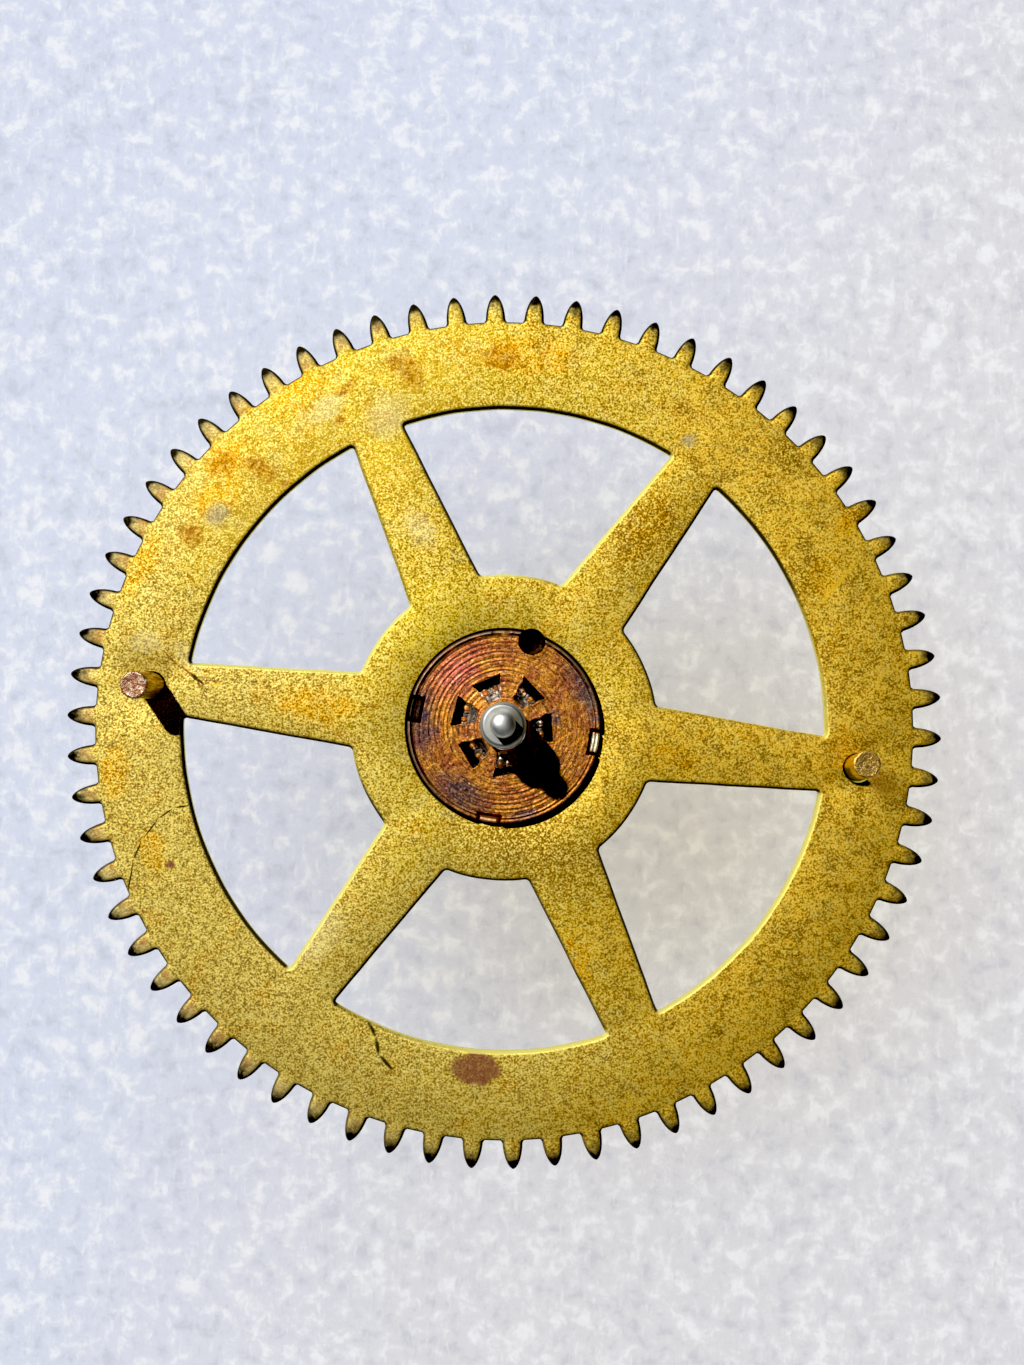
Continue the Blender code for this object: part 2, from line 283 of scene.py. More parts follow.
def window_outline(number):
    """The opening between two arms, clockwise, its edges a little wavy from the file."""
    start = FIRST_ARM + WHOLE * number / ARM_COUNT
    end = start + WHOLE / ARM_COUNT
    hub_turn = math.asin(ARM_HALF_AT_HUB / HUB_RADIUS)
    rim_turn = math.asin(ARM_HALF_AT_RIM / RIM_INNER_RADIUS)
    steps_out, steps_in, steps_side = 52, 16, 26

    def arc(radius, first, last, steps):
        return [polar(radius, first + (last - first) * i / steps) for i in range(steps + 1)]

    def side(first, last):
        return [first.lerp(last, i / steps_side) for i in range(steps_side + 1)]

    outer = arc(RIM_INNER_RADIUS, start + rim_turn, end - rim_turn, steps_out)
    inner = arc(HUB_RADIUS, end - hub_turn, start + hub_turn, steps_in)
    runs = [outer, side(outer[-1], inner[0]), inner, side(inner[-1], outer[0])]
    points = []
    for run, following in zip(runs, runs[1:] + runs[:1]):
        points += run[1:-1]
        points += round_corner(run[-2], run[-1], following[1], WINDOW_CORNER)
    wavy = []
    for point in points:
        drift = noise.noise_vector(point * 700 + Vector((number * 3.1, 0, 0)))
        wavy.append(point + Vector((drift.x, drift.y, 0)) * FILED_WAVE)
    return wavy[::-1]


def collet_hole(reach):
    """The wheel's bore, clockwise, with the bite that the locking drilling takes out of it."""
    bore = COLLET_RADIUS + SEAT_GAP + reach
    centre = polar(DRILLING_CIRCLE, DRILLING_ANGLE)
    points = []
    for i in range(360):
        angle = WHOLE * i / 360
        direction = polar(1.0, angle)
        along = direction.dot(centre)
        short = (DRILLING_RADIUS + reach) ** 2 - (centre.length_squared - along**2)
        far = along + math.sqrt(short) if short > 0 else 0.0
        points.append(direction * max(bore, far))
    return points[::-1]


def pin_centres():
    return [polar(LIFTING_PIN_CIRCLE, FIRST_ARM + WHOLE * arm / ARM_COUNT) for arm in LIFTING_PIN_ARMS]


def build_wheel(material):
    teeth = []
    for _ in range(TOOTH_COUNT):
        tip = TIP_RADIUS - draw.uniform(0.0, 0.05) * MM
        teeth.append((tip, draw.uniform(-0.02, 0.02) * MM, draw.uniform(-0.0006, 0.0006)))
    windows = [window_outline(number) for number in range(ARM_COUNT)]

    def outlines(reach, z):
        """The rim and then the holes, drawn in from their edges by the reach. Windows widen to the back."""
        depth = max(0.0, WHEEL_FRONT - z - 1.5 * PLATE_EDGE) / (WHEEL_FRONT - WHEEL_BACK)
        holes = [inset(window, reach + depth * WINDOW_DRAFT) for window in windows]
        holes.append(collet_hole(0.4 * reach))
        for centre in pin_centres():
            holes.append(ring(LIFTING_PIN_RADIUS + 0.02 * MM + 0.3 * reach, 0, 40, centre.to_2d())[::-1])
        return [wheel_outline(teeth, reach)] + holes

    edge = PLATE_EDGE
    levels = (  # inset, height, share of the wall's look, share of painted shade, share of the painted edge highlight
        (1.3 * edge, WHEEL_FRONT, 0.0, 0.0, 0.0),
        (0.9 * edge, WHEEL_FRONT - 0.07 * edge, 0.0, 0.1, 0.6),
        (0.6 * edge, WHEEL_FRONT - 0.28 * edge, 0.1, 0.7, 1.0),
        (0.3 * edge, WHEEL_FRONT - 0.7 * edge, 0.35, 1.0, 1.0),
        (0.0, WHEEL_FRONT - 1.5 * edge, 1.0, 1.0, 0.8),
        (0.0, WHEEL_FRONT - 2.8 * edge, 1.0, 0.7, 0.2),
        (0.0, WHEEL_FRONT - 4.2 * edge, 1.0, 0.1, 0.0),
        (0.0, WHEEL_BACK + 0.5 * edge, 1.0, 0.0, 0.0),
        (0.2 * edge, WHEEL_BACK + 0.15 * edge, 0.5, 0.0, 0.0),
        (0.6 * edge, WHEEL_BACK + 0.02 * edge, 0.2, 0.0, 0.0),
        (1.3 * edge, WHEEL_BACK, 0.0, 0.0, 0.0),
    )
    bm = bmesh.new()
    toothed = bm.verts.layers.float.new("toothed")
    walled = bm.verts.layers.float.new("walled")
    away_shade = bm.verts.layers.float.new("away_shade")
    lit_edge = bm.verts.layers.float.new("lit_edge")
    # Painted light from the key's direction: sides facing away from it are marked for painted shade, hole
    # edges facing it for a painted highlight.
    lamp_side = polar(1.0, KEY_AZIMUTH)
    tops, bottoms = [], []
    for number, stack in enumerate(zip(*[outlines(*level[:2]) for level in levels])):
        loops = []
        for points, (_, z, share, black, bright) in zip(stack, levels):
            loops.append(add_loop(bm, [Vector((point.x, point.y, z)) for point in points]))
            for i, corner in enumerate(loops[-1]):
                corner[walled if number else toothed] = share
                along = (points[(i + 1) % len(points)] - points[i - 1]).normalized()
                out = Vector((along.y, -along.x, 0.0)).dot(lamp_side)
                corner[away_shade] = black * float(smoothstep(0.50, 0.10, out))
                corner[lit_edge] = bright * float(smoothstep(0.40, 0.75, out)) if number else 0.0
        bridge_all(bm, loops)
        tops.append(loops[0])
        bottoms.append(loops[-1])
    below = {high: low for top, bottom in zip(tops, bottoms) for high, low in zip(top, bottom)}
    for face in cap(bm, tops):
        bm.faces.new([below[corner] for corner in reversed(face.verts)])
    return finish_piece("wheel", bm, material, "arbor_assembly", sharp=50)


# ---------------------------------------------------------------- collet face and shrouds

POCKET_SIDES = 540
FACE_RINGS = 118
POCKETS = (  # angle and turn in degrees, radius, inner and outer floor, left and right lump, lengths in mm
    (358.0, 6, 1.86, 0.30, 0.62, 0.24, 0.14),
    (53.5, -10, 1.93, 0.28, 0.60, 0.26, 0.20),
    (110.5, 3, 1.94, 0.26, 0.64, 0.22, 0.30),
    (162.0, 4, 2.02, 0.28, 0.66, 0.30, 0.28),
    (220.0, -8, 1.86, 0.30, 0.50, 0.26, 0.26),
    (274.5, 6, 1.84, 0.22, 0.44, 0.18, 0.22),
    (313.5, -4, 2.02, 0.26, 0.60, 0.24, 0.18),
)
EDGE_STAKES = (  # angle in degrees, half width, reach in from the edge, depth, pad's height, lengths in mm
    (92.0, 0.40, 0.20, 0.18, 0.06),
    (169.0, 0.60, 0.70, 0.50, 0.16),
    (261.0, 0.56, 0.46, 0.30, 0.27),
    (350.5, 0.60, 0.56, 0.42, 0.38),
)


def trundle_angles():
    return [FIRST_TRUNDLE + WHOLE * k / TRUNDLE_COUNT for k in range(TRUNDLE_COUNT)]


def collet_height(radius, angle):
    """Height of the collet's face above its plane, in mm, for arrays of radius (mm) and angle (radians)."""
    x, y = radius * np.cos(angle), radius * np.sin(angle)
    grooves = 0.0075 * np.sin(WHOLE * radius / 0.235 + 0.5 * np.sin(1.9 * radius) + 0.35 * np.sin(3 * angle))
    grooves += 0.004 * np.sin(WHOLE * radius / 0.142 + 1.3)
    fade = smoothstep(-0.1, 0.9, np.cos(angle - 2.4))
    fade = np.maximum(fade, 0.9 * smoothstep(0.60, 0.95, np.cos(angle + 1.5)) * smoothstep(2.6, 3.2, radius))
    height = grooves * (0.22 + 0.78 * fade) - 0.012
    height += 0.006 * np.sin(9.1 * x + 2.0 * np.sin(5.3 * y)) * np.sin(8.3 * y + 1.7 * np.sin(6.1 * x))
    share = 0.2 + 0.8 * smoothstep(-0.2, 0.5, np.cos(angle - 2.1))
    height -= 0.09 * share * smoothstep(4.27, 4.31, radius) * (1 - smoothstep(4.35, 4.39, radius))
    height -= 0.14 * smoothstep(4.44, 4.57, radius)
    for degrees, turn, middle, shallow, deep, left, right in POCKETS:
        place, tilt = math.radians(degrees), math.radians(degrees + turn)
        dx, dy = x - middle * math.cos(place), y - middle * math.sin(place)
        along = dx * math.cos(tilt) + dy * math.sin(tilt)
        across = -dx * math.sin(tilt) + dy * math.cos(tilt)
        half = 0.54 + 0.32 * along + 0.03 * np.sin(11 * along + degrees)
        inside = smoothstep(0.03, -0.03, np.abs(across) - half)
        inside = inside * smoothstep(0.41, 0.35, along) * smoothstep(-0.72, -0.56, along)
        depth = shallow + (deep - shallow) * smoothstep(-0.05, 0.22, along)
        for side, lump in ((-1, left), (1, right)):
            spread = ((along + 0.12) / 0.20) ** 2 + ((across - side * 0.27) / 0.17) ** 2
            depth = depth - lump * 1.2 * np.exp(-(spread**1.5))
        height = np.where(inside > 0, height - inside * np.maximum(depth, 0.02), height)
        rim = np.exp(-(((np.abs(across) - half - 0.05) / 0.05) ** 2)) * (np.abs(along) < 0.45)
        height += 0.012 * rim
    for degrees, half, reach, depth, pad in EDGE_STAKES:
        stake = math.radians(degrees)
        along = x * math.cos(stake) + y * math.sin(stake)
        across = np.abs(-x * math.sin(stake) + y * math.cos(stake))
        inner = COLLET_RADIUS / MM - reach
        inside = smoothstep(inner - 0.02, inner + 0.03, along) * smoothstep(0.03, -0.03, across - half)
        raised = smoothstep(inner + 0.09, inner + 0.16, along)
        raised = raised * smoothstep(0.02, -0.05, across - half + 0.10) * smoothstep(4.56, 4.48, radius)
        height -= inside * (depth - pad * raised)
    bite = np.hypot(x - 4.18 * math.cos(DRILLING_ANGLE), y - 4.18 * math.sin(DRILLING_ANGLE))
    height += 0.03 * np.exp(-(((bite - 0.70) / 0.07) ** 2))
    floor = (DRILLING_FLOOR - COLLET_FRONT) / MM + 0.25 * smoothstep(0.0, 0.5, bite)
    return np.where(bite < 0.62, height + (floor - height) * smoothstep(0.62, 0.58, bite), height)


def holes_in(bm, z, depth, up):
    """The blind trundle holes in a shroud's face: their mouths' loops, the walls and floors added."""
    mouths = []
    for angle in trundle_angles():
        centre = polar(TRUNDLE_CIRCLE, angle).to_2d()
        chamfer = add_loop(bm, ring(TRUNDLE_HOLE + 0.04 * MM, z, 32, centre))
        lip = add_loop(bm, ring(TRUNDLE_HOLE, z - up * 0.04 * MM, 32, centre))
        deep = add_loop(bm, ring(TRUNDLE_HOLE, z - up * depth, 32, centre))
        middle = add_loop(bm, [Vector((*centre, z - up * (depth + 0.1 * MM)))])
        bridge_all(bm, [chamfer, lip, deep, middle])
        mouths.append(chamfer)
    return mouths


def build_front_shroud(material):
    bm = bmesh.new()
    bore = ARBOR_RADIUS + SEAT_GAP
    seat = WHEEL_BACK - SEAT_GAP
    radii = np.linspace((bore + 0.02 * MM) / MM, COLLET_RADIUS / MM, FACE_RINGS)
    angles = np.arange(POCKET_SIDES) * WHOLE / POCKET_SIDES
    heights = collet_height(radii[:, None], angles[None, :]) * MM
    heights = np.minimum(heights, 0.0)
    loops = []
    for radius, row in zip(radii * MM, heights):
        points = [polar(radius, angle, COLLET_FRONT + h) for angle, h in zip(angles, row)]
        loops.append(add_loop(bm, points))
    below = (
        (COLLET_RADIUS, DRILLING_FLOOR - 0.05 * MM),
        (COLLET_RADIUS, seat),
        (FLANGE_RADIUS - 0.05 * MM, seat),
        (FLANGE_RADIUS, seat - 0.05 * MM),
        *reversed(rounded(FLANGE_RADIUS, FLANGE_REAR, FLANGE_CHAMFER)),
        (FLANGE_RADIUS - 1.4 * MM, FLANGE_REAR),
    )
    for radius, z in below:
        loops.append(add_loop(bm, ring(radius, z, POCKET_SIDES)))
    bridge_all(bm, loops)
    back_bore = add_loop(bm, ring(bore, FLANGE_REAR, POCKET_SIDES))
    bridge(bm, back_bore, loops[0])
    mouths = holes_in(bm, FLANGE_REAR, 2.05 * MM, -1)
    cap(bm, [loops[-1], back_bore] + mouths)
    return finish_piece("front_shroud", bm, material, "arbor_assembly", sharp=60)


def build_rear_shroud(material):
    bm = bmesh.new()
    bore = ARBOR_RADIUS + SEAT_GAP
    face, edge = REAR_FRONT_FACE - REAR_THICKNESS, 0.15 * MM
    groove = 0.02 * MM
    profile = [
        (bore, BOSS_END + 0.03 * MM),
        (bore + 0.06 * MM, BOSS_END),
        *rounded(BOSS_RADIUS, BOSS_END, edge),
        (BOSS_RADIUS, face - 0.16 * MM),
        (BOSS_RADIUS + 0.05 * MM, face - 0.05 * MM),
        (BOSS_RADIUS + 0.16 * MM, face),
    ]
    steps = 14
    start, end = BOSS_RADIUS + 0.2 * MM, REAR_RADIUS - edge - 0.1 * MM
    for i in range(steps + 1):
        profile.append((start + (end - start) * i / steps, face + groove * (i % 2)))
    profile += [
        *rounded(REAR_RADIUS, face, edge),
        *reversed(rounded(REAR_RADIUS, REAR_FRONT_FACE, -edge)),
    ]
    loops = turned(bm, profile, 144)
    front_bore = add_loop(bm, ring(bore, REAR_FRONT_FACE, 144))
    bridge(bm, loops[0], front_bore)
    mouths = holes_in(bm, REAR_FRONT_FACE, 1.25 * MM, 1)
    cap(bm, [loops[-1], front_bore] + mouths)
    return finish_piece("rear_shroud", bm, material, "arbor_assembly", sharp=40)


# ---------------------------------------------------------------- arbor, trundles and pins


def build_arbor(material):
    dome = 0.3 * MM

    def pivot(tip, shoulder, way):
        """Profile from the pivot's tip to the full arbor. way is +1 where the arbor lies above the tip."""
        neck = shoulder - way * 0.09 * MM
        points = [(0.0, tip)]
        for i in range(1, 7):
            turn = math.pi / 2 * i / 6
            points.append((PIVOT_RADIUS * math.sin(turn), tip + way * dome * (1 - math.cos(turn))))
        points += [
            (PIVOT_RADIUS, neck - way * 0.5 * MM),
            (PIVOT_RADIUS - 0.02 * MM, neck),
            (PIVOT_RADIUS + 0.01 * MM, shoulder),
            (SHOULDER_RADIUS, shoulder + way * 0.008 * MM),
        ]
        for i in range(1, 9):
            turn = math.pi / 2 * i / 8
            radius = SHOULDER_RADIUS + (ARBOR_RADIUS - SHOULDER_RADIUS) * math.sin(turn)
            points.append((radius, shoulder + way * SHOULDER_TAPER * (1 - math.cos(turn))))
        return points

    rear = pivot(ARBOR_REAR, ARBOR_REAR + PIVOT_LENGTH, 1)
    front = pivot(ARBOR_FRONT, ARBOR_FRONT - PIVOT_LENGTH, -1)
    low, high = rear[-1][1], front[-1][1]
    length = 60
    shaft = []
    for i in range(1, length):
        z = low + (high - low) * i / length
        shaft.append((ARBOR_RADIUS - 0.004 * MM * (1 + math.sin(i * 2.1)) / 2, z))
    bm = bmesh.new()
    turned(bm, rear + shaft + front[::-1], 96)
    return finish_piece("arbor", bm, material, "arbor_assembly", sharp=32)


def build_trundles(material):
    chamfer = 0.06 * MM
    for number, angle in enumerate(trundle_angles(), start=1):
        profile = [
            (0.0, TRUNDLE_REAR),
            *rounded(TRUNDLE_RADIUS, TRUNDLE_REAR, chamfer, 0.25),
        ]
        for i in range(1, 16):
            share = i / 16
            waist = 0.012 * MM * math.exp(-(((share - 0.45) / 0.12) ** 2))
            z = TRUNDLE_REAR + (TRUNDLE_FRONT - TRUNDLE_REAR) * share
            profile.append((TRUNDLE_RADIUS - waist, z))
        profile += [
            *reversed(rounded(TRUNDLE_RADIUS, TRUNDLE_FRONT, -chamfer, 0.25)),
            (0.0, TRUNDLE_FRONT),
        ]
        bm = bmesh.new()
        turned(bm, profile, 40, polar(TRUNDLE_CIRCLE, angle).to_2d())
        name = f"trundle_{number}"
        finish_piece(name, bm, material, name, sharp=50)


def build_lifting_pins(materials):
    """Two short pins riveted through the wheel, each knocked a little out of upright by use."""
    leans = ((-0.13, -0.09), (-0.19, 0.18))
    for number, (centre, material, lean) in enumerate(zip(pin_centres(), materials, leans), start=1):
        back = WHEEL_BACK - SEAT_GAP
        bm = bmesh.new()
        profile = [
            (0.0, PIN_BACK),
            (RIVET_RADIUS * 0.35, PIN_BACK + 0.004 * MM),
            (RIVET_RADIUS * 0.7, PIN_BACK + 0.03 * MM),
            (RIVET_RADIUS * 0.93, PIN_BACK + 0.09 * MM),
            (RIVET_RADIUS, back - 0.03 * MM),
            (RIVET_RADIUS * 0.96, back),
            (LIFTING_PIN_RADIUS, back),
            (LIFTING_PIN_RADIUS, WHEEL_FRONT + 0.02 * MM),
        ]
        for i in range(1, 9):
            share = i / 9
            z = WHEEL_FRONT + (PIN_TIP - WHEEL_FRONT) * share
            profile.append((LIFTING_PIN_RADIUS - 0.008 * MM * (i % 3), z))
        profile += [
            (LIFTING_PIN_RADIUS, PIN_TIP - 0.075 * MM),
            (LIFTING_PIN_RADIUS - 0.02 * MM, PIN_TIP - 0.025 * MM),
            (LIFTING_PIN_RADIUS - 0.07 * MM, PIN_TIP),
        ]
        for share in (0.8, 0.65, 0.5, 0.35, 0.2, 0.1):
            dent = 0.02 * MM * (1 - share) + 0.006 * MM * math.sin(40 * share)
            profile.append((LIFTING_PIN_RADIUS * share, PIN_TIP - abs(dent)))
        profile.append((0.0, PIN_TIP - 0.02 * MM))
        turned(bm, profile, 64, centre.to_2d(), wobble=0.012 * MM)
        for corner in bm.verts:
            corner.co.z = min(corner.co.z, PIN_TIP)
            share = max(0.0, (corner.co.z - WHEEL_FRONT) / (PIN_TIP - WHEEL_FRONT))
            corner.co += Vector((*lean, 0.0)) * share * MM
        finish_piece(f"lifting_pin_{number}", bm, material, "arbor_assembly", sharp=45)


# ---------------------------------------------------------------- finishes


class Value:
    """A node's output, which adds, subtracts and multiplies by making maths nodes."""

    def __init__(self, paint, socket):
        self.paint = paint
        self.socket = socket

    def __add__(self, other):
        return self.paint.maths("ADD", self, other)

    def __sub__(self, other):
        return self.paint.maths("SUBTRACT", self, other)

    def __rsub__(self, other):
        return self.paint.maths("SUBTRACT", other, self)

    def __mul__(self, other):
        return self.paint.maths("MULTIPLY", self, other)

    def or_more(self, other):
        return self.paint.maths("MAXIMUM", self, other)

    def step(self, low, high, to_low=0.0, to_high=1.0):
        """A smooth step from to_low, where this is low, to to_high, where it is high."""
        numbers = {"Value": self, "From Min": low, "From Max": high, "To Min": to_low, "To Max": to_high}
        return self.paint.node("MapRange", numbers, "Result", interpolation_type="SMOOTHSTEP")

    def band(self, middle, half):
        """1 where this is at the middle, falling to 0 at half away from it."""
        return self.paint.maths("ABSOLUTE", self - middle).step(half, half * 0.4)

    def mix(self, share, new, kind="MIX"):
        return self.paint.mix(share, self, new, kind)


class Paint:
    """Builds one material's nodes from short calls. A call returns the value that its node puts out."""

    def __init__(self, name):
        self.material = bpy.data.materials.new(name)
        self.material.use_nodes = True
        self.tree = self.material.node_tree
        self.shader = self.tree.nodes["Principled BSDF"]
        metres = self.node("TexCoord", {}, "Object")
        self.here = self.scaled(metres, 1 / MM)

    def put(self, node, inputs):
        for name, value in inputs.items():
            socket = node.inputs[name]
            if isinstance(value, Value):
                self.tree.links.new(value.socket, socket)
            elif isinstance(value, (int, float)):
                socket.default_value = value
            elif value is not None:
                value = tuple(value)
                socket.default_value = value + (1.0,) if socket.type == "RGBA" and len(value) == 3 else value

    def node(self, kind, inputs, output=0, **settings):
        """The output of a new node. Settings are its choices, such as its operation."""
        node = self.tree.nodes.new("ShaderNode" + kind)
        for name, setting in settings.items():
            setattr(node, name, setting)
        self.put(node, inputs)
        return Value(self, node.outputs[output])

    def scaled(self, vector, scale):
        return self.node("VectorMath", {0: vector, "Scale": scale}, operation="SCALE")

    def vector(self, operation, a, b):
        return self.node("VectorMath", {0: a, 1: b}, operation=operation)

    def length(self, vector):
        return self.node("VectorMath", {0: vector}, "Value", operation="LENGTH")

    def along(self, vector, angle):
        """How far a vector reaches in the direction at an angle in the wheel's plane."""
        inputs = {0: vector, 1: polar(1.0, angle)}
        return self.node("VectorMath", inputs, "Value", operation="DOT_PRODUCT")

    def maths(self, operation, a, b=None, clamp=False):
        return self.node("Math", {0: a, 1: b}, operation=operation, use_clamp=clamp)

    def noise(self, size, detail=3.0, roughness=0.55, at=None, distortion=0.0, shift=None):
        """Noise from 0 to 1 with features of about that size, in mm."""
        where = at or self.here
        if shift is not None:
            where = self.vector("ADD", where, (*shift, 0.0)[:3])
        inputs = {"Vector": where, "Scale": 1 / size, "Detail": detail}
        return self.node("TexNoise", inputs | {"Roughness": roughness, "Distortion": distortion}, "Fac")

    def attribute(self, name):
        return self.node("Attribute", {}, "Fac", attribute_name=name)

    def mix(self, share, a, b, kind="MIX"):
        return self.node("Mix", {0: share, 6: a, 7: b}, 2, data_type="RGBA", blend_type=kind)

    def combine(self, x, y, z):
        return self.node("CombineXYZ", {0: x, 1: y, 2: z})

    def place(self):
        """The three coordinates of the place, in mm."""
        return [self.node("SeparateXYZ", {0: self.here}, axis) for axis in range(3)]

    def stretched(self, *shares):
        return self.vector("MULTIPLY", self.here, shares)

    def radius(self):
        """The distance from the arbor's axis, in mm."""
        return self.length(self.stretched(1.0, 1.0, 0.0))

    def warped(self, amount, size, seed=(0.0, 0.0, 0.0)):
        """The place, pushed about by noise, so that what is painted there gets a ragged outline."""
        inputs = {"Vector": self.vector("ADD", self.here, seed), "Scale": 1 / size, "Detail": 3.0}
        centred = self.vector("SUBTRACT", self.node("TexNoise", inputs, "Color"), (0.5, 0.5, 0.5))
        return self.vector("ADD", self.here, self.scaled(centred, amount))

    def spot(self, at, centre, size, turn=0.0, soft=0.5):
        """1 inside an ellipse round the centre, falling to 0 at its edge. size is its two half widths."""
        place = {"Vector": at, "Location": (*centre, 0.0), "Rotation": (0.0, 0.0, math.radians(turn))}
        inside = self.node("Mapping", place | {"Scale": (*size, 1e6)}, vector_type="TEXTURE")
        return self.length(inside).step(1.0, 1.0 - soft)

    def spots(self, at, places, soft):
        """Ellipses, each given as centre x and y, half width and half height, and turn."""
        return self.most(self.spot(at, (x, y), size, turn, soft) for x, y, *size, turn in places)

    def scratch(self, at, start, end, width):
        start, end = Vector(start), Vector(end)
        run = end - start
        turn = math.degrees(math.atan2(run.y, run.x))
        return self.spot(at, (start + end) / 2, (run.length / 2, width / 2), turn, 0.7)

    def scratches(self, at, lines):
        return self.most(self.scratch(at, *line) for line in lines)

    def most(self, masks):
        """The largest of some masks. Each is joined in as it is made, so few are held at once."""
        total = 0.0
        for mask in masks:
            total = self.maths("MAXIMUM", total, mask)
        return total

    def bump(self, height, distance, strength=1.0, normal=None):
        inputs = {"Strength": strength, "Distance": distance, "Height": height, "Normal": normal}
        return self.node("Bump", inputs)

    def finish(self, colour, roughness, metallic=1.0, normal=None):
        inputs = {"Base Color": colour, "Roughness": roughness, "Metallic": metallic, "Normal": normal}
        self.put(self.shader, inputs)
        return self.material


GOLD = (0.86, 0.64, 0.052)
KHAKI = (0.78, 0.62, 0.15)
AMBER = (0.95, 0.65, 0.070)
PALE_GOLD = (0.97, 0.80, 0.16)
GLINT = (1.0, 0.88, 0.30)
STAIN = (0.50, 0.20, 0.02)
WALL = (1.0, 0.90, 0.20)
BROWN = (0.19, 0.095, 0.02)
ORANGE = (0.66, 0.31, 0.03)
GRIME = (0.035, 0.026, 0.015)
BLACK = (0.012, 0.010, 0.009)
GREY = (0.46, 0.43, 0.30)
BLOTCH = (0.34, 0.13, 0.075)
DEEP_AMBER = (0.96, 0.6, 0.02)
BLEACHED_BRASS = (0.88, 0.76, 0.34)
CLOUD = (0.76, 0.42, 0.022)
STRAW = (0.88, 0.75, 0.22)
DULL_BROWN = (0.44, 0.26, 0.03)
MOTTLE = (0.6, 0.37, 0.035)
FRESH_GOLD = (1.0, 0.8, 0.05)
DIRT = (0.36, 0.18, 0.018)
OLIVE = (0.54, 0.42, 0.07)
AMBER_GLINT = (1.0, 0.80, 0.16)
WARM_TINT = (1.0, 0.84, 0.42)
PALE_BRASS = (0.95, 0.83, 0.36)
GLINT_FLECK = (1.0, 0.84, 0.2)
STAIN_HALO = (0.86, 0.46, 0.03)
SCUFF = (0.97, 0.68, 0.06)
RED_BROWN = (0.34, 0.11, 0.03)
SHADOW_HAZE = (0.25, 0.125, 0.02)
TOOTH_KHAKI = (0.74, 0.63, 0.3)
TIP_OLIVE = (0.42, 0.34, 0.15)
TIP_GREY = (0.6, 0.52, 0.3)
TOOTH_BROWN = (0.22, 0.17, 0.06)
FLANK_SHADE = (0.035, 0.027, 0.016)
EDGE_HIGHLIGHT = (1.0, 0.92, 0.24)

BROWN_STAINS = (  # centre x, y, half width, half height, all in mm, and turn in degrees
    (-13.4, 12.4, 1.0, 0.9, 40),
    (-11.6, 12.1, 1.2, 0.7, -20),
    (-10.2, 11.2, 0.8, 0.5, -30),
    (-7.9, 14.5, 0.4, 0.35, 0),
    (-7.6, 16.0, 0.9, 0.4, 30),
    (-5.1, 17.2, 0.8, 0.7, 0),
    (-4.4, 16.6, 0.7, 0.9, 0),
    (-0.2, 17.5, 1.4, 0.7, 0),
    (-14.8, 9.0, 0.7, 0.9, 10),
)
GREY_SPOTS = (
    (-13.6, 9.9, 0.85, 0.8, 0),
    (8.75, 13.7, 0.7, 0.4, 10),
    (-8.3, 4.6, 0.4, 0.3, 0),
)
ORANGE_PATCHES = (
    (-9.9, 15.8, 2.1, 1.0, 32),
    (1.2, 17.6, 3.4, 1.2, -3),
    (-13.6, 10.9, 1.7, 1.2, 45),
    (-13.2, 12.6, 1.6, 1.2, 40),
    (-18.3, -2.2, 0.9, 1.5, 0),
    (-8.9, 0.9, 2.6, 1.2, -8),
    (6.7, 9.4, 1.2, 2.6, -33),
    (16.6, 9.9, 1.6, 0.8, 50),
    (14.9, 7.2, 1.5, 1.0, 45),
    (8.0, -1.4, 1.8, 0.9, -15),
    (-17.2, 7.4, 0.8, 2.4, -25),
    (-16.4, -6.0, 0.9, 1.4, 25),
    (3.4, -11.0, 0.8, 1.8, 20),
)
DULL_PATCHES = (
    (1.6, -6.0, 6.8, 3.4, -12),
    (6.6, 9.0, 2.0, 4.2, -36),
    (13.4, 13.0, 2.0, 0.9, -45),
    (14.2, 6.8, 0.9, 2.0, 25),
)
BLEACHED = (
    (-14.9, 3.2, 1.6, 0.5, -50),
    (-16.9, 3.9, 1.2, 0.7, 0),
    (-15.9, 1.0, 1.4, 0.6, -35),
    (-5.6, 14.6, 1.4, 1.3, 0),
    (-8.6, 15.0, 1.5, 0.8, 35),
    (-8.6, -9.8, 1.2, 2.0, -35),
    (-4.0, 9.4, 0.9, 1.4, 25),
)
DARK_SCRATCHES = (  # start, end, width, in mm
    ((-14.80, 2.46), (-14.32, 2.02), 0.25),
    ((-14.55, 2.22), (-14.05, 1.86), 0.15),
    ((-6.30, -13.65), (-5.80, -14.65), 0.24),
    ((-5.86, -14.40), (-5.70, -15.50), 0.26),
    ((-5.80, -15.20), (-4.95, -16.20), 0.24),
    ((-14.6, -3.72), (-15.5, -3.92), 0.09),
    ((-15.4, -3.85), (-16.25, -4.45), 0.09),
    ((-16.1, -4.30), (-16.95, -5.45), 0.09),
    ((-16.9, -5.30), (-17.35, -6.50), 0.09),
    ((-17.3, -6.30), (-17.60, -8.20), 0.09),
)
RED_SCRATCHES = (
    ((-16.05, 3.45), (-15.25, 2.70), 0.13),
    ((-15.35, 2.80), (-14.55, 2.28), 0.15),
    ((-14.60, 2.40), (-14.15, 1.55), 0.13),
    ((-14.25, 1.70), (-13.90, 1.05), 0.09),
    ((-14.45, 2.12), (-13.15, 2.06), 0.10),
)
PALE_SCRATCHES = (
    ((14.1, 5.0), (17.2, 8.6), 0.34),
    ((13.0, 8.0), (13.9, 9.3), 0.26),
    ((-14.0, 1.9), (-13.2, 1.95), 0.13),
)


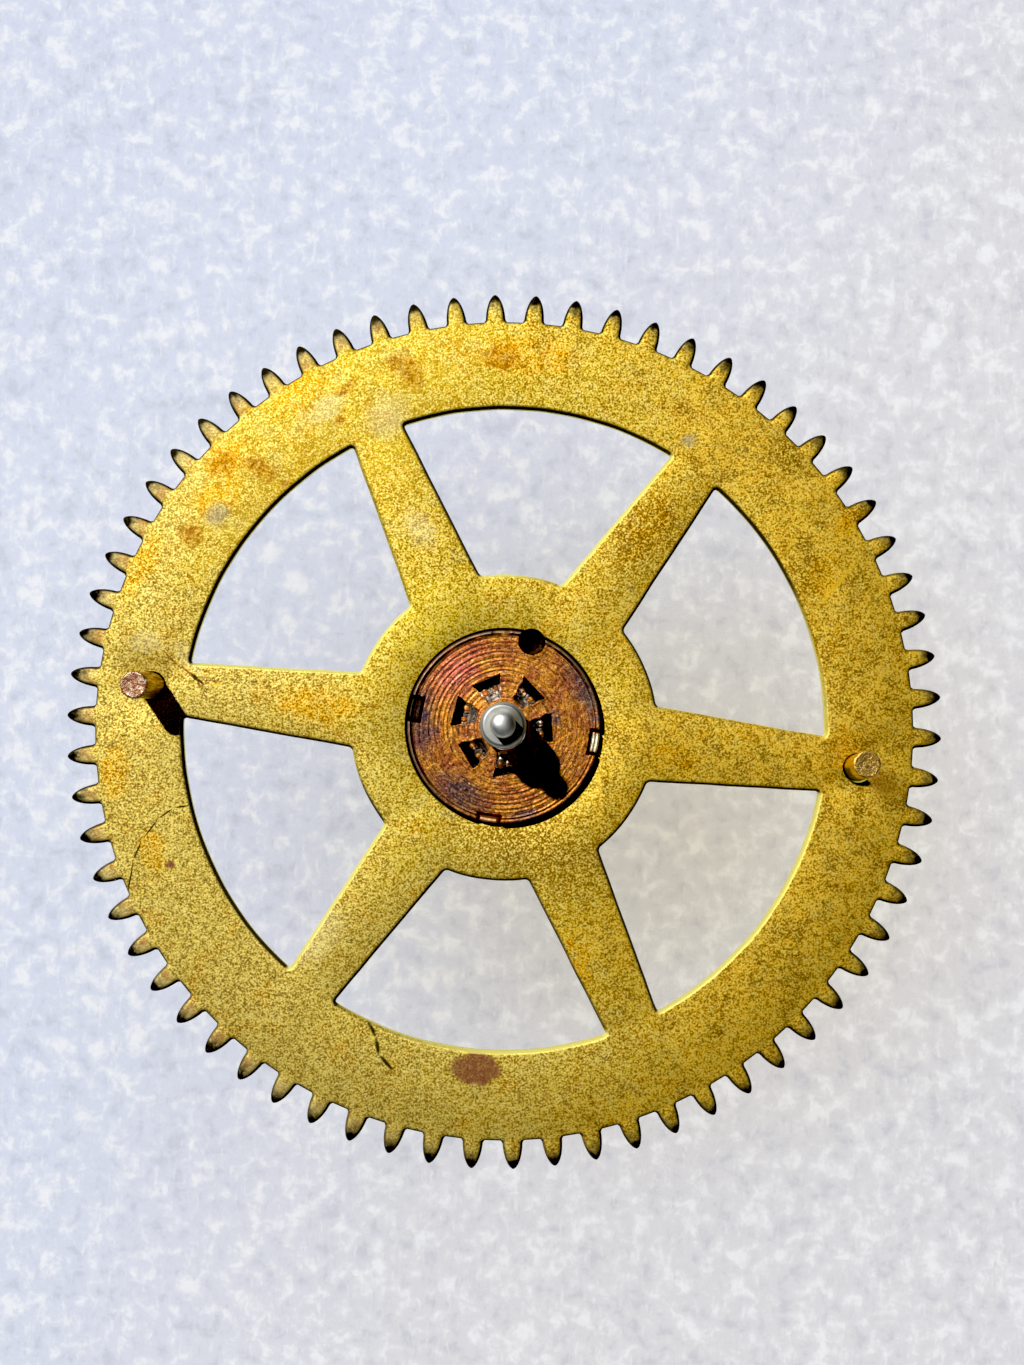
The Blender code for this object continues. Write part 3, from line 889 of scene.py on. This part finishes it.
def brass_grain(paint, colour, glint, dark, size=0.105):
    """The speckle of tumbled brass: dark grains about a tenth of a mm across, and bright grains that are
    partly grain and partly painted glints.
    """
    fine = paint.noise(size, 2.0, 0.55)
    coarse = paint.noise(size * 3.4, 3.0, 0.6, shift=(3.1, 8.2))
    level = fine * 0.75 + coarse * 0.25
    bright = level.step(0.515, 0.585) * 0.88
    deep = level.step(0.495, 0.41) * 0.95
    return paint.mix(deep, paint.mix(bright, colour, glint), dark), level


def wheel_finish():
    paint = Paint("wheel_brass_aged")
    x, y, z = paint.place()
    radius = paint.radius()
    ragged = paint.warped(0.9, 1.1)
    wander = paint.warped(0.10, 0.7, (5.0, 1.0, 0.0))

    # Broad tone: amber to the right, khaki to the left, clean gold between
    drift = (paint.noise(6.0, 3.0) - 0.5) * 26.0
    right = (x - y * 0.08 + drift).step(-3.0, 13.0)
    left = (x + y * 0.55 + drift).step(0.0, -17.0)
    base = paint.mix(right, GOLD, AMBER)
    base = base.mix(left * 0.9, KHAKI)

    patches = paint.spots(ragged, ORANGE_PATCHES, 0.6)
    base = base.mix(patches * 0.7, DEEP_AMBER)
    bare = paint.spots(ragged, BLEACHED, 0.7)
    base = base.mix(bare * 0.8, BLEACHED_BRASS)
    cloud = paint.noise(1.5, 4.0, 0.6, shift=(9.0, 4.0)).step(0.5, 0.7)
    base = base.mix(cloud * 0.6, CLOUD)
    bleach = paint.noise(1.2, 4.0, 0.6, shift=(2.0, 14.0)).step(0.5, 0.68)
    base = base.mix(bleach * right.step(0.0, 1.0, 0.65, 0.3), STRAW)

    dull = paint.spots(ragged, DULL_PATCHES, 0.9)
    base = base.mix(dull * 0.75, DULL_BROWN)
    mottle = paint.noise(1.6, 3.0, 0.6, shift=(31.0, 2.0)).step(0.53, 0.6)
    mottle = mottle * (x - y * 0.3).step(2.0, 12.0)
    base = base.mix(mottle * 0.45, MOTTLE)
    fresh = paint.spot(ragged, (-3.6, 4.6), (3.8, 2.8), 38.0, 1.0)
    base = base.mix(fresh * 0.8, FRESH_GOLD)
    dirt = paint.noise(1.1, 5.0, 0.75, shift=(7.0, 2.0)).step(0.5, 0.6)
    base = base.mix(dirt * right.step(0.0, 1.0, 0.18, 0.6), DIRT)
    olive = paint.noise(0.7, 4.0, 0.7, shift=(1.0, 22.0)).step(0.52, 0.62)
    base = base.mix(olive * right.step(0.0, 1.0, 0.15, 0.45), OLIVE)
    clean = paint.spot(ragged, (-9.0, 15.0), (15.0, 9.0), 40.0, 1.0)
    dark = paint.mix(clean.step(0.0, 0.6, 0.66, 0.3), base, BROWN)
    colour, level = brass_grain(paint, base, paint.mix(right, GLINT, AMBER_GLINT), dark, 0.095)
    broken = paint.noise(0.6, 4.0, 0.7, shift=(12.0, 3.0)).step(0.4, 0.6)
    colour = colour.mix(patches * broken * 0.8, WARM_TINT, "MULTIPLY")
    colour = colour.mix(bare * 0.28, PALE_BRASS)
    # Painted glints: scattered bright yellow flecks.
    glint_flecks = paint.noise(0.2, 2.0, 0.6, shift=(6.0, 31.0)).step(0.58, 0.66)
    colour = colour.mix(glint_flecks * 0.75, GLINT_FLECK)
    pits = paint.noise(0.19, 3.0, 0.7, shift=(3.0, 5.0)).step(0.58, 0.66)
    colour = colour.mix(pits * y.step(4.0, 16.0, 0.6, 0.3), BROWN)

    # Stains, blotches and spots
    stains = paint.spots(ragged, BROWN_STAINS, 0.6)
    speck_noise = paint.noise(0.26, 4.0, 0.75, shift=(2.0, 7.0))
    specks = speck_noise.step(0.49, 0.56)
    colour = colour.mix(stains * 0.3, STAIN_HALO)
    colour = colour.mix(stains * specks * 0.72, STAIN)
    lone = speck_noise.step(0.62, 0.67) * clean.step(0.0, 0.5)
    colour = colour.mix(lone * 0.65, STAIN)
    scattered = paint.noise(0.8, 5.0, 0.7, shift=(4.4, 1.7)).step(0.66, 0.74)
    colour = colour.mix(scattered * 0.55, BROWN)
    grey = paint.spots(ragged, GREY_SPOTS, 0.8)
    colour = colour.mix(grey * 0.6, GREY)
    blotch = paint.spot(ragged, (-1.15, -15.95), (1.30, 0.85), 0.0, 0.3)
    dot = paint.spot(wander, (-15.6, -6.55), (0.28, 0.24), 0.0, 0.6)
    blotch = blotch.or_more(dot) * specks.step(0.0, 1.0, 0.78, 0.95)
    colour = colour.mix(blotch, BLOTCH)

    # Scratches
    dark = paint.scratches(wander, DARK_SCRATCHES)
    pale = paint.scratches(wander, PALE_SCRATCHES)
    colour = colour.mix(pale * 0.7, SCUFF)
    red = paint.scratches(wander, RED_SCRATCHES)
    colour = colour.mix(red * 0.8, RED_BROWN)
    colour = colour.mix(dark * 0.95, GRIME)

    # Painted shadow of the second pin, which casts no shadow of its own: black under its lean, a soft brown
    # shadow beyond
    shadow_haze = paint.spot(ragged, (17.7, -2.55), (1.9, 1.25), -50.0, 1.0)
    colour = colour.mix(shadow_haze * 0.85, SHADOW_HAZE)
    painted_pin_shade = paint.spot(wander, (16.72, -2.48), (0.66, 0.24), -14.0, 0.35)
    colour = colour.mix(painted_pin_shade, BLACK)

    # Grime on the tooth tips; painted shade on the tooth flanks and on sides that face away from the key; a
    # painted highlight on hole edges that face it; bright filed walls in the windows
    smear = paint.noise(0.45, 3.0)
    tip = (radius + smear * 1.1).step(20.25, 21.0)
    crust = paint.noise(0.21, 3.0, 0.7, shift=(1.0, 9.0)).step(0.42, 0.47)
    leftward = x.step(2.0, -12.0)
    tooth = (radius + smear * 0.7).step(19.55, 20.0) * leftward
    colour = colour.mix(tooth * 0.6, TOOTH_KHAKI)
    root = radius.band(19.7, 0.45) * leftward * smear.step(0.46, 0.6)
    colour = colour.mix(root * 0.5, STAIN)
    colour = colour.mix(tip * 0.75, paint.mix(leftward, TIP_OLIVE, TIP_GREY))
    thick = clean.step(0.0, 0.5, 0.97, 0.3)
    colour = colour.mix(tip * crust * thick, GRIME)
    shallow = z.step(WHEEL_FRONT / MM - 0.95, WHEEL_FRONT / MM - 0.45, 0.3, 1.0)
    lower_right = (x - y * 0.4).step(-9.0, 3.0, 0.3, 0.92)
    body = (radius + smear * 0.6).step(19.7, 20.5) * lower_right
    colour = colour.mix(body * 0.55, TOOTH_BROWN)
    cap = (radius + smear * 0.6).step(20.36, 20.6)
    colour = colour.mix(cap * shallow * 0.92, BLACK)
    flank = paint.attribute("toothed").step(0.04, 0.24) * shallow
    wall = paint.attribute("walled").step(0.35, 1.0)
    # Painted shade in black on sides that face away from the key, and a painted highlight on edges that face
    # it, weakened in one patch to the right.
    side_shade = paint.attribute("away_shade").step(0.05, 0.85)
    highlight_gap = paint.spot(paint.here, (11.0, 0.2), (5.0, 1.8), -6.0, 0.4)
    edge_highlight = paint.attribute("lit_edge") * highlight_gap.step(0.0, 1.0, 1.0, 0.1)
    colour = colour.mix(wall * 0.9, WALL)
    # Painted shade: the tooth flanks near the face are darkened to a dark outline, strongest to the upper
    # left.
    flank_shade = (y - x * 0.5).step(-4.0, 12.0, 0.45, 0.97)
    colour = colour.mix(flank * flank_shade, FLANK_SHADE)
    colour = colour.mix(edge_highlight * 0.95, EDGE_HIGHLIGHT)
    colour = colour.mix(side_shade * 0.97, BLACK)

    rough = level.step(0.3, 0.7, 0.78, 0.62)
    rough = rough + stains.or_more(tip) * 0.08 - edge_highlight * 0.26
    rough = paint.maths("ADD", rough, side_shade * 0.35, clamp=True)
    painted = (side_shade * 0.9).or_more(wall * 0.75)
    metal = 1.0 - painted.or_more(edge_highlight * 0.75)
    grain = paint.noise(0.08, 3.0, 0.6)
    relief = grain + level * 1.2 - dark * 1.6
    normal = paint.bump(relief, 0.013 * MM)
    normal = paint.bump(paint.noise(2.6, 2.0), 0.04 * MM, 0.5, normal)
    return paint.finish(colour, rough, metal, normal)


COPPER = (0.52, 0.165, 0.045)
COPPER_PINK = (0.62, 0.15, 0.12)
COPPER_YELLOW = (0.82, 0.36, 0.045)
PURPLE = (0.050, 0.022, 0.034)
SMOKE = (0.30, 0.26, 0.24)
TARNISH = (0.125, 0.088, 0.108)
STAKED = (0.98, 0.74, 0.50)
CREAM = (0.95, 0.90, 0.66)
PUNCHED = (0.85, 0.50, 0.27)
POCKET = (1.0, 0.86, 0.74)

YELLOW_SPOTS = (  # centre x, y, half width, half height, all in mm, and turn in degrees
    (3.0, -0.9, 1.0, 1.9, 15),
    (1.4, 3.2, 1.3, 0.7, -20),
    (-2.6, 0.2, 0.7, 1.2, 10),
    (-1.3, -2.6, 1.5, 0.8, -20),
    (0.3, -3.9, 1.6, 0.4, 0),
    (3.0, -2.9, 1.0, 0.9, 40),
)
TARNISHED = (
    (-3.8, 0.2, 0.95, 2.4, 0),
    (-2.0, -3.1, 2.1, 1.1, -35),
    (3.6, 2.0, 0.9, 1.6, 30),
    (2.4, 0.4, 0.5, 0.6, 0),
    (1.0, -4.1, 1.0, 0.4, 10),
)


def shroud_finish():
    paint = Paint("shroud_tarnished_copper")
    x, y, z = paint.place()
    radius = paint.radius()
    ragged = paint.warped(0.8, 0.8)
    colour = paint.mix(paint.noise(0.8, 4.0, 0.6).step(0.4, 0.65), COPPER, COPPER_YELLOW)
    pink = paint.spot(ragged, (-2.2, 2.5), (2.0, 1.3), 45, 0.9)
    colour = colour.mix(pink * 0.75, COPPER_PINK)
    colour = colour.mix(paint.spots(ragged, YELLOW_SPOTS, 0.8) * 0.65, COPPER_YELLOW)
    tarnish = paint.spots(ragged, TARNISHED, 0.8)
    mottle = paint.noise(0.35, 5.0, 0.7, shift=(1.0, 3.0)).step(0.38, 0.62)
    colour = colour.mix(tarnish * mottle.step(0.0, 1.0, 0.55, 1.0) * 0.96, TARNISH)
    smoke = paint.spot(ragged, (4.1, 0.9), (0.45, 1.2), 10, 0.7)
    colour = colour.mix(smoke * mottle * 0.8, SMOKE)

    # Tool marks: fine broken rings, dark speckle and bright crumbs
    rings = paint.noise(0.1, 3.0, 0.7, at=paint.combine(radius, paint.noise(1.0) * 0.9, 0.0))
    colour = colour.mix(rings.step(0.51, 0.38) * 0.8, PURPLE)
    colour = colour.mix(rings.step(0.56, 0.7) * 0.25, STAKED)
    speckle = paint.noise(0.085, 3.0, 0.7, shift=(0.0, 6.0))
    colour = colour.mix(speckle.step(0.49, 0.36) * 0.75, PURPLE)
    colour = colour.mix(speckle.step(0.57, 0.68) * 0.55, STAKED)

    # A dark turned groove and a dark joint at the edge
    edge = radius.band(4.33, 0.1)
    worn = paint.noise(0.7, 2.0, shift=(5.0, 5.0)).step(0.36, 0.5)
    upper = (y - x * 0.7).step(-2.5, 1.0, 0.2, 1.0)
    colour = colour.mix(edge * worn * upper * 0.95, GRIME)
    joint = (radius + paint.noise(0.9) * 0.12).step(4.52, 4.57)
    colour = colour.mix(joint * 0.97, BLACK)
    collar = radius.step(4.38, 4.42) * radius.step(4.52, 4.48) * upper
    colour = colour.mix(collar * 0.65, SMOKE)

    # Fresh metal where the punch went in, painted shade black in the pockets' floors and the deep recesses
    # below
    def pad(degrees, inner, half):
        """The patch of bright metal left on a stake mark at the edge."""
        along = paint.along(paint.here, math.radians(degrees))
        across = paint.along(paint.here, math.radians(degrees + 90))
        return along.step(inner, inner + 0.04) * across.band(0.0, half) * outside

    outside = radius.step(4.52, 4.48)
    sunk = z.step(COLLET_FRONT / MM - 0.05, COLLET_FRONT / MM - 0.12)
    in_pocket = sunk * radius.step(3.0, 2.8)
    colour = colour.mix(pad(261.0, 4.22, 0.48) * 0.75, PUNCHED)
    colour = colour.mix(in_pocket * 0.9, POCKET)
    colour = colour.mix(pad(350.5, 4.12, 0.54) * 0.95, CREAM)
    # Painted shade: pocket floors, and anything sunk deeper below the face down to the wheel's seat, go
    # black.
    deep = z.step(COLLET_FRONT / MM - 0.22, COLLET_FRONT / MM - 0.4)
    low = z.step(COLLET_FRONT / MM - 0.21, COLLET_FRONT / MM - 0.3)
    colour = colour.mix(in_pocket * low * 0.85, BLACK)
    above_seat = z.step(WHEEL_FRONT / MM - 0.9, WHEEL_FRONT / MM - 0.8)
    colour = colour.mix(deep * above_seat * 0.96, BLACK)
    crust = paint.noise(0.16, 3.0, 0.7, shift=(8.0, 6.0)).step(0.46, 0.41)
    colour = colour.mix(in_pocket * crust * 0.9, BLACK)

    rough = rings.step(0.3, 0.7, 0.62, 0.46) - in_pocket * 0.18
    relief = rings * 1.3 + speckle
    return paint.finish(colour, rough, 1.0, paint.bump(relief, 0.012 * MM))


STEEL = (0.80, 0.82, 0.82)
STEEL_DARK = (0.26, 0.27, 0.24)
RUST = (0.24, 0.12, 0.06)
LEDGE_SHADE = (0.30, 0.32, 0.29)
END_SHADE_OLIVE = (0.17, 0.16, 0.12)
TRUNDLE_STEEL = (0.40, 0.41, 0.43)
TRUNDLE_DARK = (0.16, 0.16, 0.18)
WIRE = (0.9, 0.56, 0.05)
END_CREAM = (0.86, 0.74, 0.56)
END_RED = (0.2, 0.055, 0.03)
BROWN_END = (0.42, 0.24, 0.15)
TAN_END = (0.80, 0.51, 0.13)


def turned_steel(name, light, dark, rust_share, low, high, end_shade=0.0):
    """Turned and polished steel: fine rings along the axis, a little staining, low and high roughness."""
    paint = Paint(name)
    _, _, z = paint.place()
    rings = paint.noise(0.07, 3.0, 0.7, at=paint.combine(z, 0.0, paint.noise(2.0) * 0.3))
    cloud = paint.noise(0.6, 4.0, 0.6)
    colour = paint.mix(cloud.step(0.42, 0.66) * 0.25, light, dark)
    colour = colour.mix(rings.step(0.55, 0.35) * 0.35, dark)
    rust = paint.noise(0.5, 5.0, 0.7, shift=(4.0, 4.0, 2.0)).step(0.6, 0.7)
    colour = colour.mix(rust * rust_share, RUST)
    # Painted shade on the front end: a dark olive patch on the side away from the light, and a darker
    # shoulder ring.
    shaded_end = paint.spot(paint.warped(0.3, 0.5), (0.66, 0.05), (0.62, 1.1), 12.0, 0.7)
    shaded_end = shaded_end * z.step(ARBOR_FRONT / MM - 3.0, ARBOR_FRONT / MM - 2.2)
    ledge_shade = z.step(ARBOR_FRONT / MM - 1.2, ARBOR_FRONT / MM - 1.7) * (0.5 * end_shade)
    ledge_shade = ledge_shade * z.step(ARBOR_FRONT / MM - 3.0, ARBOR_FRONT / MM - 2.2)
    colour = colour.mix(ledge_shade, LEDGE_SHADE)
    colour = colour.mix(shaded_end * end_shade, END_SHADE_OLIVE)
    rough = cloud.step(0.3, 0.7, low, high) + rust * 0.2
    relief = rings + rust * -0.6
    return paint.finish(colour, rough, 1.0, paint.bump(relief, 0.004 * MM))


def rear_shroud_finish():
    paint = Paint("rear_shroud_dull_brass")
    radius = paint.radius()
    _, _, z = paint.place()
    rings = paint.noise(0.09, 3.0, 0.7, at=paint.combine(radius, z, 0.0))
    tone = paint.mix(paint.noise(1.6, 4.0).step(0.4, 0.7), GOLD, ORANGE)
    tone = tone.mix(rings.step(0.5, 0.33) * 0.5, BROWN)
    colour, level = brass_grain(paint, tone, PALE_GOLD, BROWN, 0.18)
    stain = paint.noise(0.7, 5.0, 0.7, shift=(6.0, 2.0, 1.0)).step(0.56, 0.68)
    colour = colour.mix(stain * 0.55, BROWN)
    rough = level.step(0.3, 0.7, 0.48, 0.34)
    relief = rings * 1.4 + level
    return paint.finish(colour, rough, 1.0, paint.bump(relief, 0.012 * MM))


def pin_finish(name, tip_colour, spots, dirt, painted_pin_shade=0.0):
    """Drawn brass wire: lengthwise draw marks, and an end face with its own tarnish."""
    paint = Paint(name)
    _, _, z = paint.place()
    draws = paint.noise(0.10, 3.0, 0.7, paint.stretched(1.0, 1.0, 0.08))
    colour = paint.mix(draws.step(0.62, 0.38) * dirt, WIRE, BROWN)
    stain = paint.noise(0.5, 4.0, 0.7).step(0.48, 0.66)
    colour = colour.mix(stain * dirt * 0.6, BROWN)
    end = z.step(PIN_TIP / MM - 0.06, PIN_TIP / MM - 0.02)
    speck = paint.noise(0.22, 4.0, 0.7, shift=(2.0, 3.0)).step(0.46, 0.58)
    cream = paint.noise(0.32, 3.0, 0.6, shift=(7.0, 1.0)).step(0.5, 0.62)
    face = paint.mix(cream * spots, tip_colour, END_CREAM)
    face = face.mix(speck * spots, END_RED)
    colour = colour.mix(end, face)
    rim = z.step(PIN_TIP / MM - 0.13, PIN_TIP / MM - 0.07) * (1.0 - end)
    colour = colour.mix(rim * (0.8 - 0.5 * painted_pin_shade), GRIME)
    foot = z.step(WHEEL_FRONT / MM + 0.35, WHEEL_FRONT / MM + 0.02)
    colour = colour.mix(foot * dirt * 0.75, GRIME)
    # Painted shade: the second pin's lower side is painted black along most of its height.
    beside = paint.vector("SUBTRACT", paint.here, tuple(pin_centres()[1] / MM))
    under = paint.along(beside, math.radians(270)).step(-0.1, 0.08)
    under = under * z.step(WHEEL_FRONT / MM + 2.1, WHEEL_FRONT / MM + 1.3) * painted_pin_shade
    colour = colour.mix(under, BLACK)
    rough = draws.step(0.3, 0.7, 0.5, 0.34)
    relief = draws + speck * end * -0.8
    return paint.finish(colour, rough, 1.0, paint.bump(relief, 0.010 * MM))


# ---------------------------------------------------------------- stage, lights and camera

SIDE_LIGHT = 0.28
TOP_LIGHT = 0.01
BLACK_LEVEL = 0.015
WHITE = (1.0, 1.0, 1.0)
FLOOR_BLUE = (0.72, 0.765, 0.90)
FLOOR_GREY = (0.78, 0.77, 0.79)
FLOOR_PALE = (0.98, 0.99, 1.0)
FLOOR_DIM = (0.52, 0.54, 0.62)
STREAK_DIM = (0.58, 0.57, 0.6)
BOUNCE_WARMTH = (0.965, 0.92, 0.77)


def floor_finish():
    paint = Paint("floor_pale")
    x, y, _ = paint.place()
    cells = paint.noise(1.2, 4.0, 0.62, distortion=0.25)
    slope = (x - y * 0.5).step(-25.0, 25.0)
    colour = paint.mix(slope, FLOOR_BLUE, FLOOR_GREY)
    colour = colour.mix(cells.step(0.48, 0.68) * 0.7, FLOOR_PALE)
    colour = colour.mix(cells.step(0.46, 0.3) * 0.4, FLOOR_DIM)
    drawn = paint.noise(0.5, 4.0, 0.65, paint.stretched(1.0, 0.3, 1.0), shift=(3.0, 1.0))
    colour = colour.mix(drawn.step(0.56, 0.7) * 0.45, WHITE)
    colour = colour.mix(drawn.step(0.44, 0.3) * 0.3, STREAK_DIM)
    # Painted warm bounce light from the brass, with a little painted shade, on the floor round the lower
    # right of the hub.
    bounce_glow = paint.spot(paint.here, (12.0, -6.0), (30.0, 26.0), 0.0, 1.0)
    colour = colour.mix(bounce_glow * 0.9, BOUNCE_WARMTH, "MULTIPLY")
    paint.put(paint.shader, {"Specular IOR Level": 0.3, "Emission Color": colour, "Emission Strength": 0.50})
    return paint.finish(colour, 0.6, 0.0, paint.bump(cells, 0.20 * MM, 0.5))


def build_floor():
    bm = bmesh.new()
    bmesh.ops.create_grid(bm, x_segments=8, y_segments=8, size=1.5)
    bmesh.ops.translate(bm, verts=bm.verts, vec=(0, 0, ARBOR_REAR - 0.2 * MM))
    floor = add_object("floor", mesh_from("floor", bm, floor_finish()))
    return floor


def add_light(name, direction, distance, size, power, colour):
    """An area light that looks at the wheel from a direction given as (azimuth, elevation) in degrees."""
    azimuth, elevation = (math.radians(value) for value in direction)
    away = polar(math.cos(elevation), azimuth, math.sin(elevation))
    light = bpy.data.lights.new(name, "AREA")
    light.shape = "DISK"
    light.size = size
    light.energy = power
    light.color = colour
    lamp = add_object(name, light)
    lamp.location = Vector((0, 0, WHEEL_FRONT)) + away * distance
    lamp.rotation_euler = (-away).to_track_quat("-Z", "Y").to_euler()
    return lamp


def light_only(lamp, receivers):
    """Keeps a lamp's light on some objects: a hard key on the part, a soft canopy on the floor."""
    lit = bpy.data.collections.new(lamp.name + "_lights")
    for receiver in receivers:
        lit.objects.link(receiver)
    lamp.light_linking.receiver_collection = lit


def build_world():
    """A studio that is pale round the horizon and dark overhead, where the camera stands."""
    world = bpy.data.worlds.new("studio")
    world.use_nodes = True
    tree = world.node_tree
    place = tree.nodes.new("ShaderNodeTexCoord")
    split = tree.nodes.new("ShaderNodeSeparateXYZ")
    level = tree.nodes.new("ShaderNodeMapRange")
    level.interpolation_type = "SMOOTHSTEP"
    for socket, number in zip(level.inputs[1:5], (0.05, 0.32, SIDE_LIGHT, TOP_LIGHT)):
        socket.default_value = number
    shade = tree.nodes["Background"]
    shade.inputs["Color"].default_value = (0.90, 0.93, 1.0, 1.0)
    tree.links.new(place.outputs["Generated"], split.inputs[0])
    tree.links.new(split.outputs["Z"], level.inputs["Value"])
    tree.links.new(level.outputs["Result"], shade.inputs["Strength"])
    bpy.context.scene.world = world


def build_lights(floor):
    pieces = [o for o in bpy.context.scene.objects if o.name.startswith("piece_")]
    key = add_light("key", (131.0, 53.5), 0.50, 0.014, 2.45, (1.0, 0.97, 0.92))
    light_only(key, pieces)
    shades = bpy.data.collections.new("key_shades")
    for piece in pieces:
        if piece.name != "piece_lifting_pin_2":  # this one casts no key shadow; its shadow is painted on the wheel instead
            shades.objects.link(piece)
    key.light_linking.blocker_collection = shades
    soft = [piece for piece in pieces if piece.name not in ("piece_front_shroud", "piece_wheel")]
    light_only(add_light("fill", (-40.0, 25.0), 0.60, 0.40, 0.12, (1.0, 0.93, 0.84)), soft)
    light_only(add_light("canopy", (131.0, 78.0), 0.60, 0.90, 2.6, (0.96, 0.97, 1.0)), [floor])
    build_world()


def build_camera():
    data = bpy.data.cameras.new("camera")
    data.lens = 42.2
    data.sensor_width = 36.0
    data.clip_start, data.clip_end = 0.001, 10.0
    camera = add_object("camera", data)
    camera.location = (0.64 * MM, -1.24 * MM, 105.2 * MM)
    camera.rotation_euler = (math.radians(2.53), math.radians(0.19), math.radians(0.335))
    bpy.context.scene.camera = camera


def build_view():
    """Plain colours with the deep blacks of a hard, contrasty picture."""
    view = bpy.context.scene.view_settings
    view.view_transform = "Standard"
    view.use_curve_mapping = True
    view.curve_mapping.black_level = (BLACK_LEVEL,) * 3
    view.curve_mapping.update()


build_wheel(wheel_finish())
build_front_shroud(shroud_finish())
build_rear_shroud(rear_shroud_finish())
build_arbor(turned_steel("arbor_polished_steel", STEEL, STEEL_DARK, 0.25, 0.42, 0.55, 0.95))
build_trundles(turned_steel("trundle_oiled_steel", TRUNDLE_STEEL, TRUNDLE_DARK, 0.5, 0.2, 0.4))
build_lifting_pins(
    [
        pin_finish("pin_brass_brown_end", BROWN_END, 0.75, 1.0),
        pin_finish("pin_brass_tan_end", TAN_END, 0.15, 0.35, 1.0),
    ]
)
build_lights(build_floor())
build_camera()
build_view()
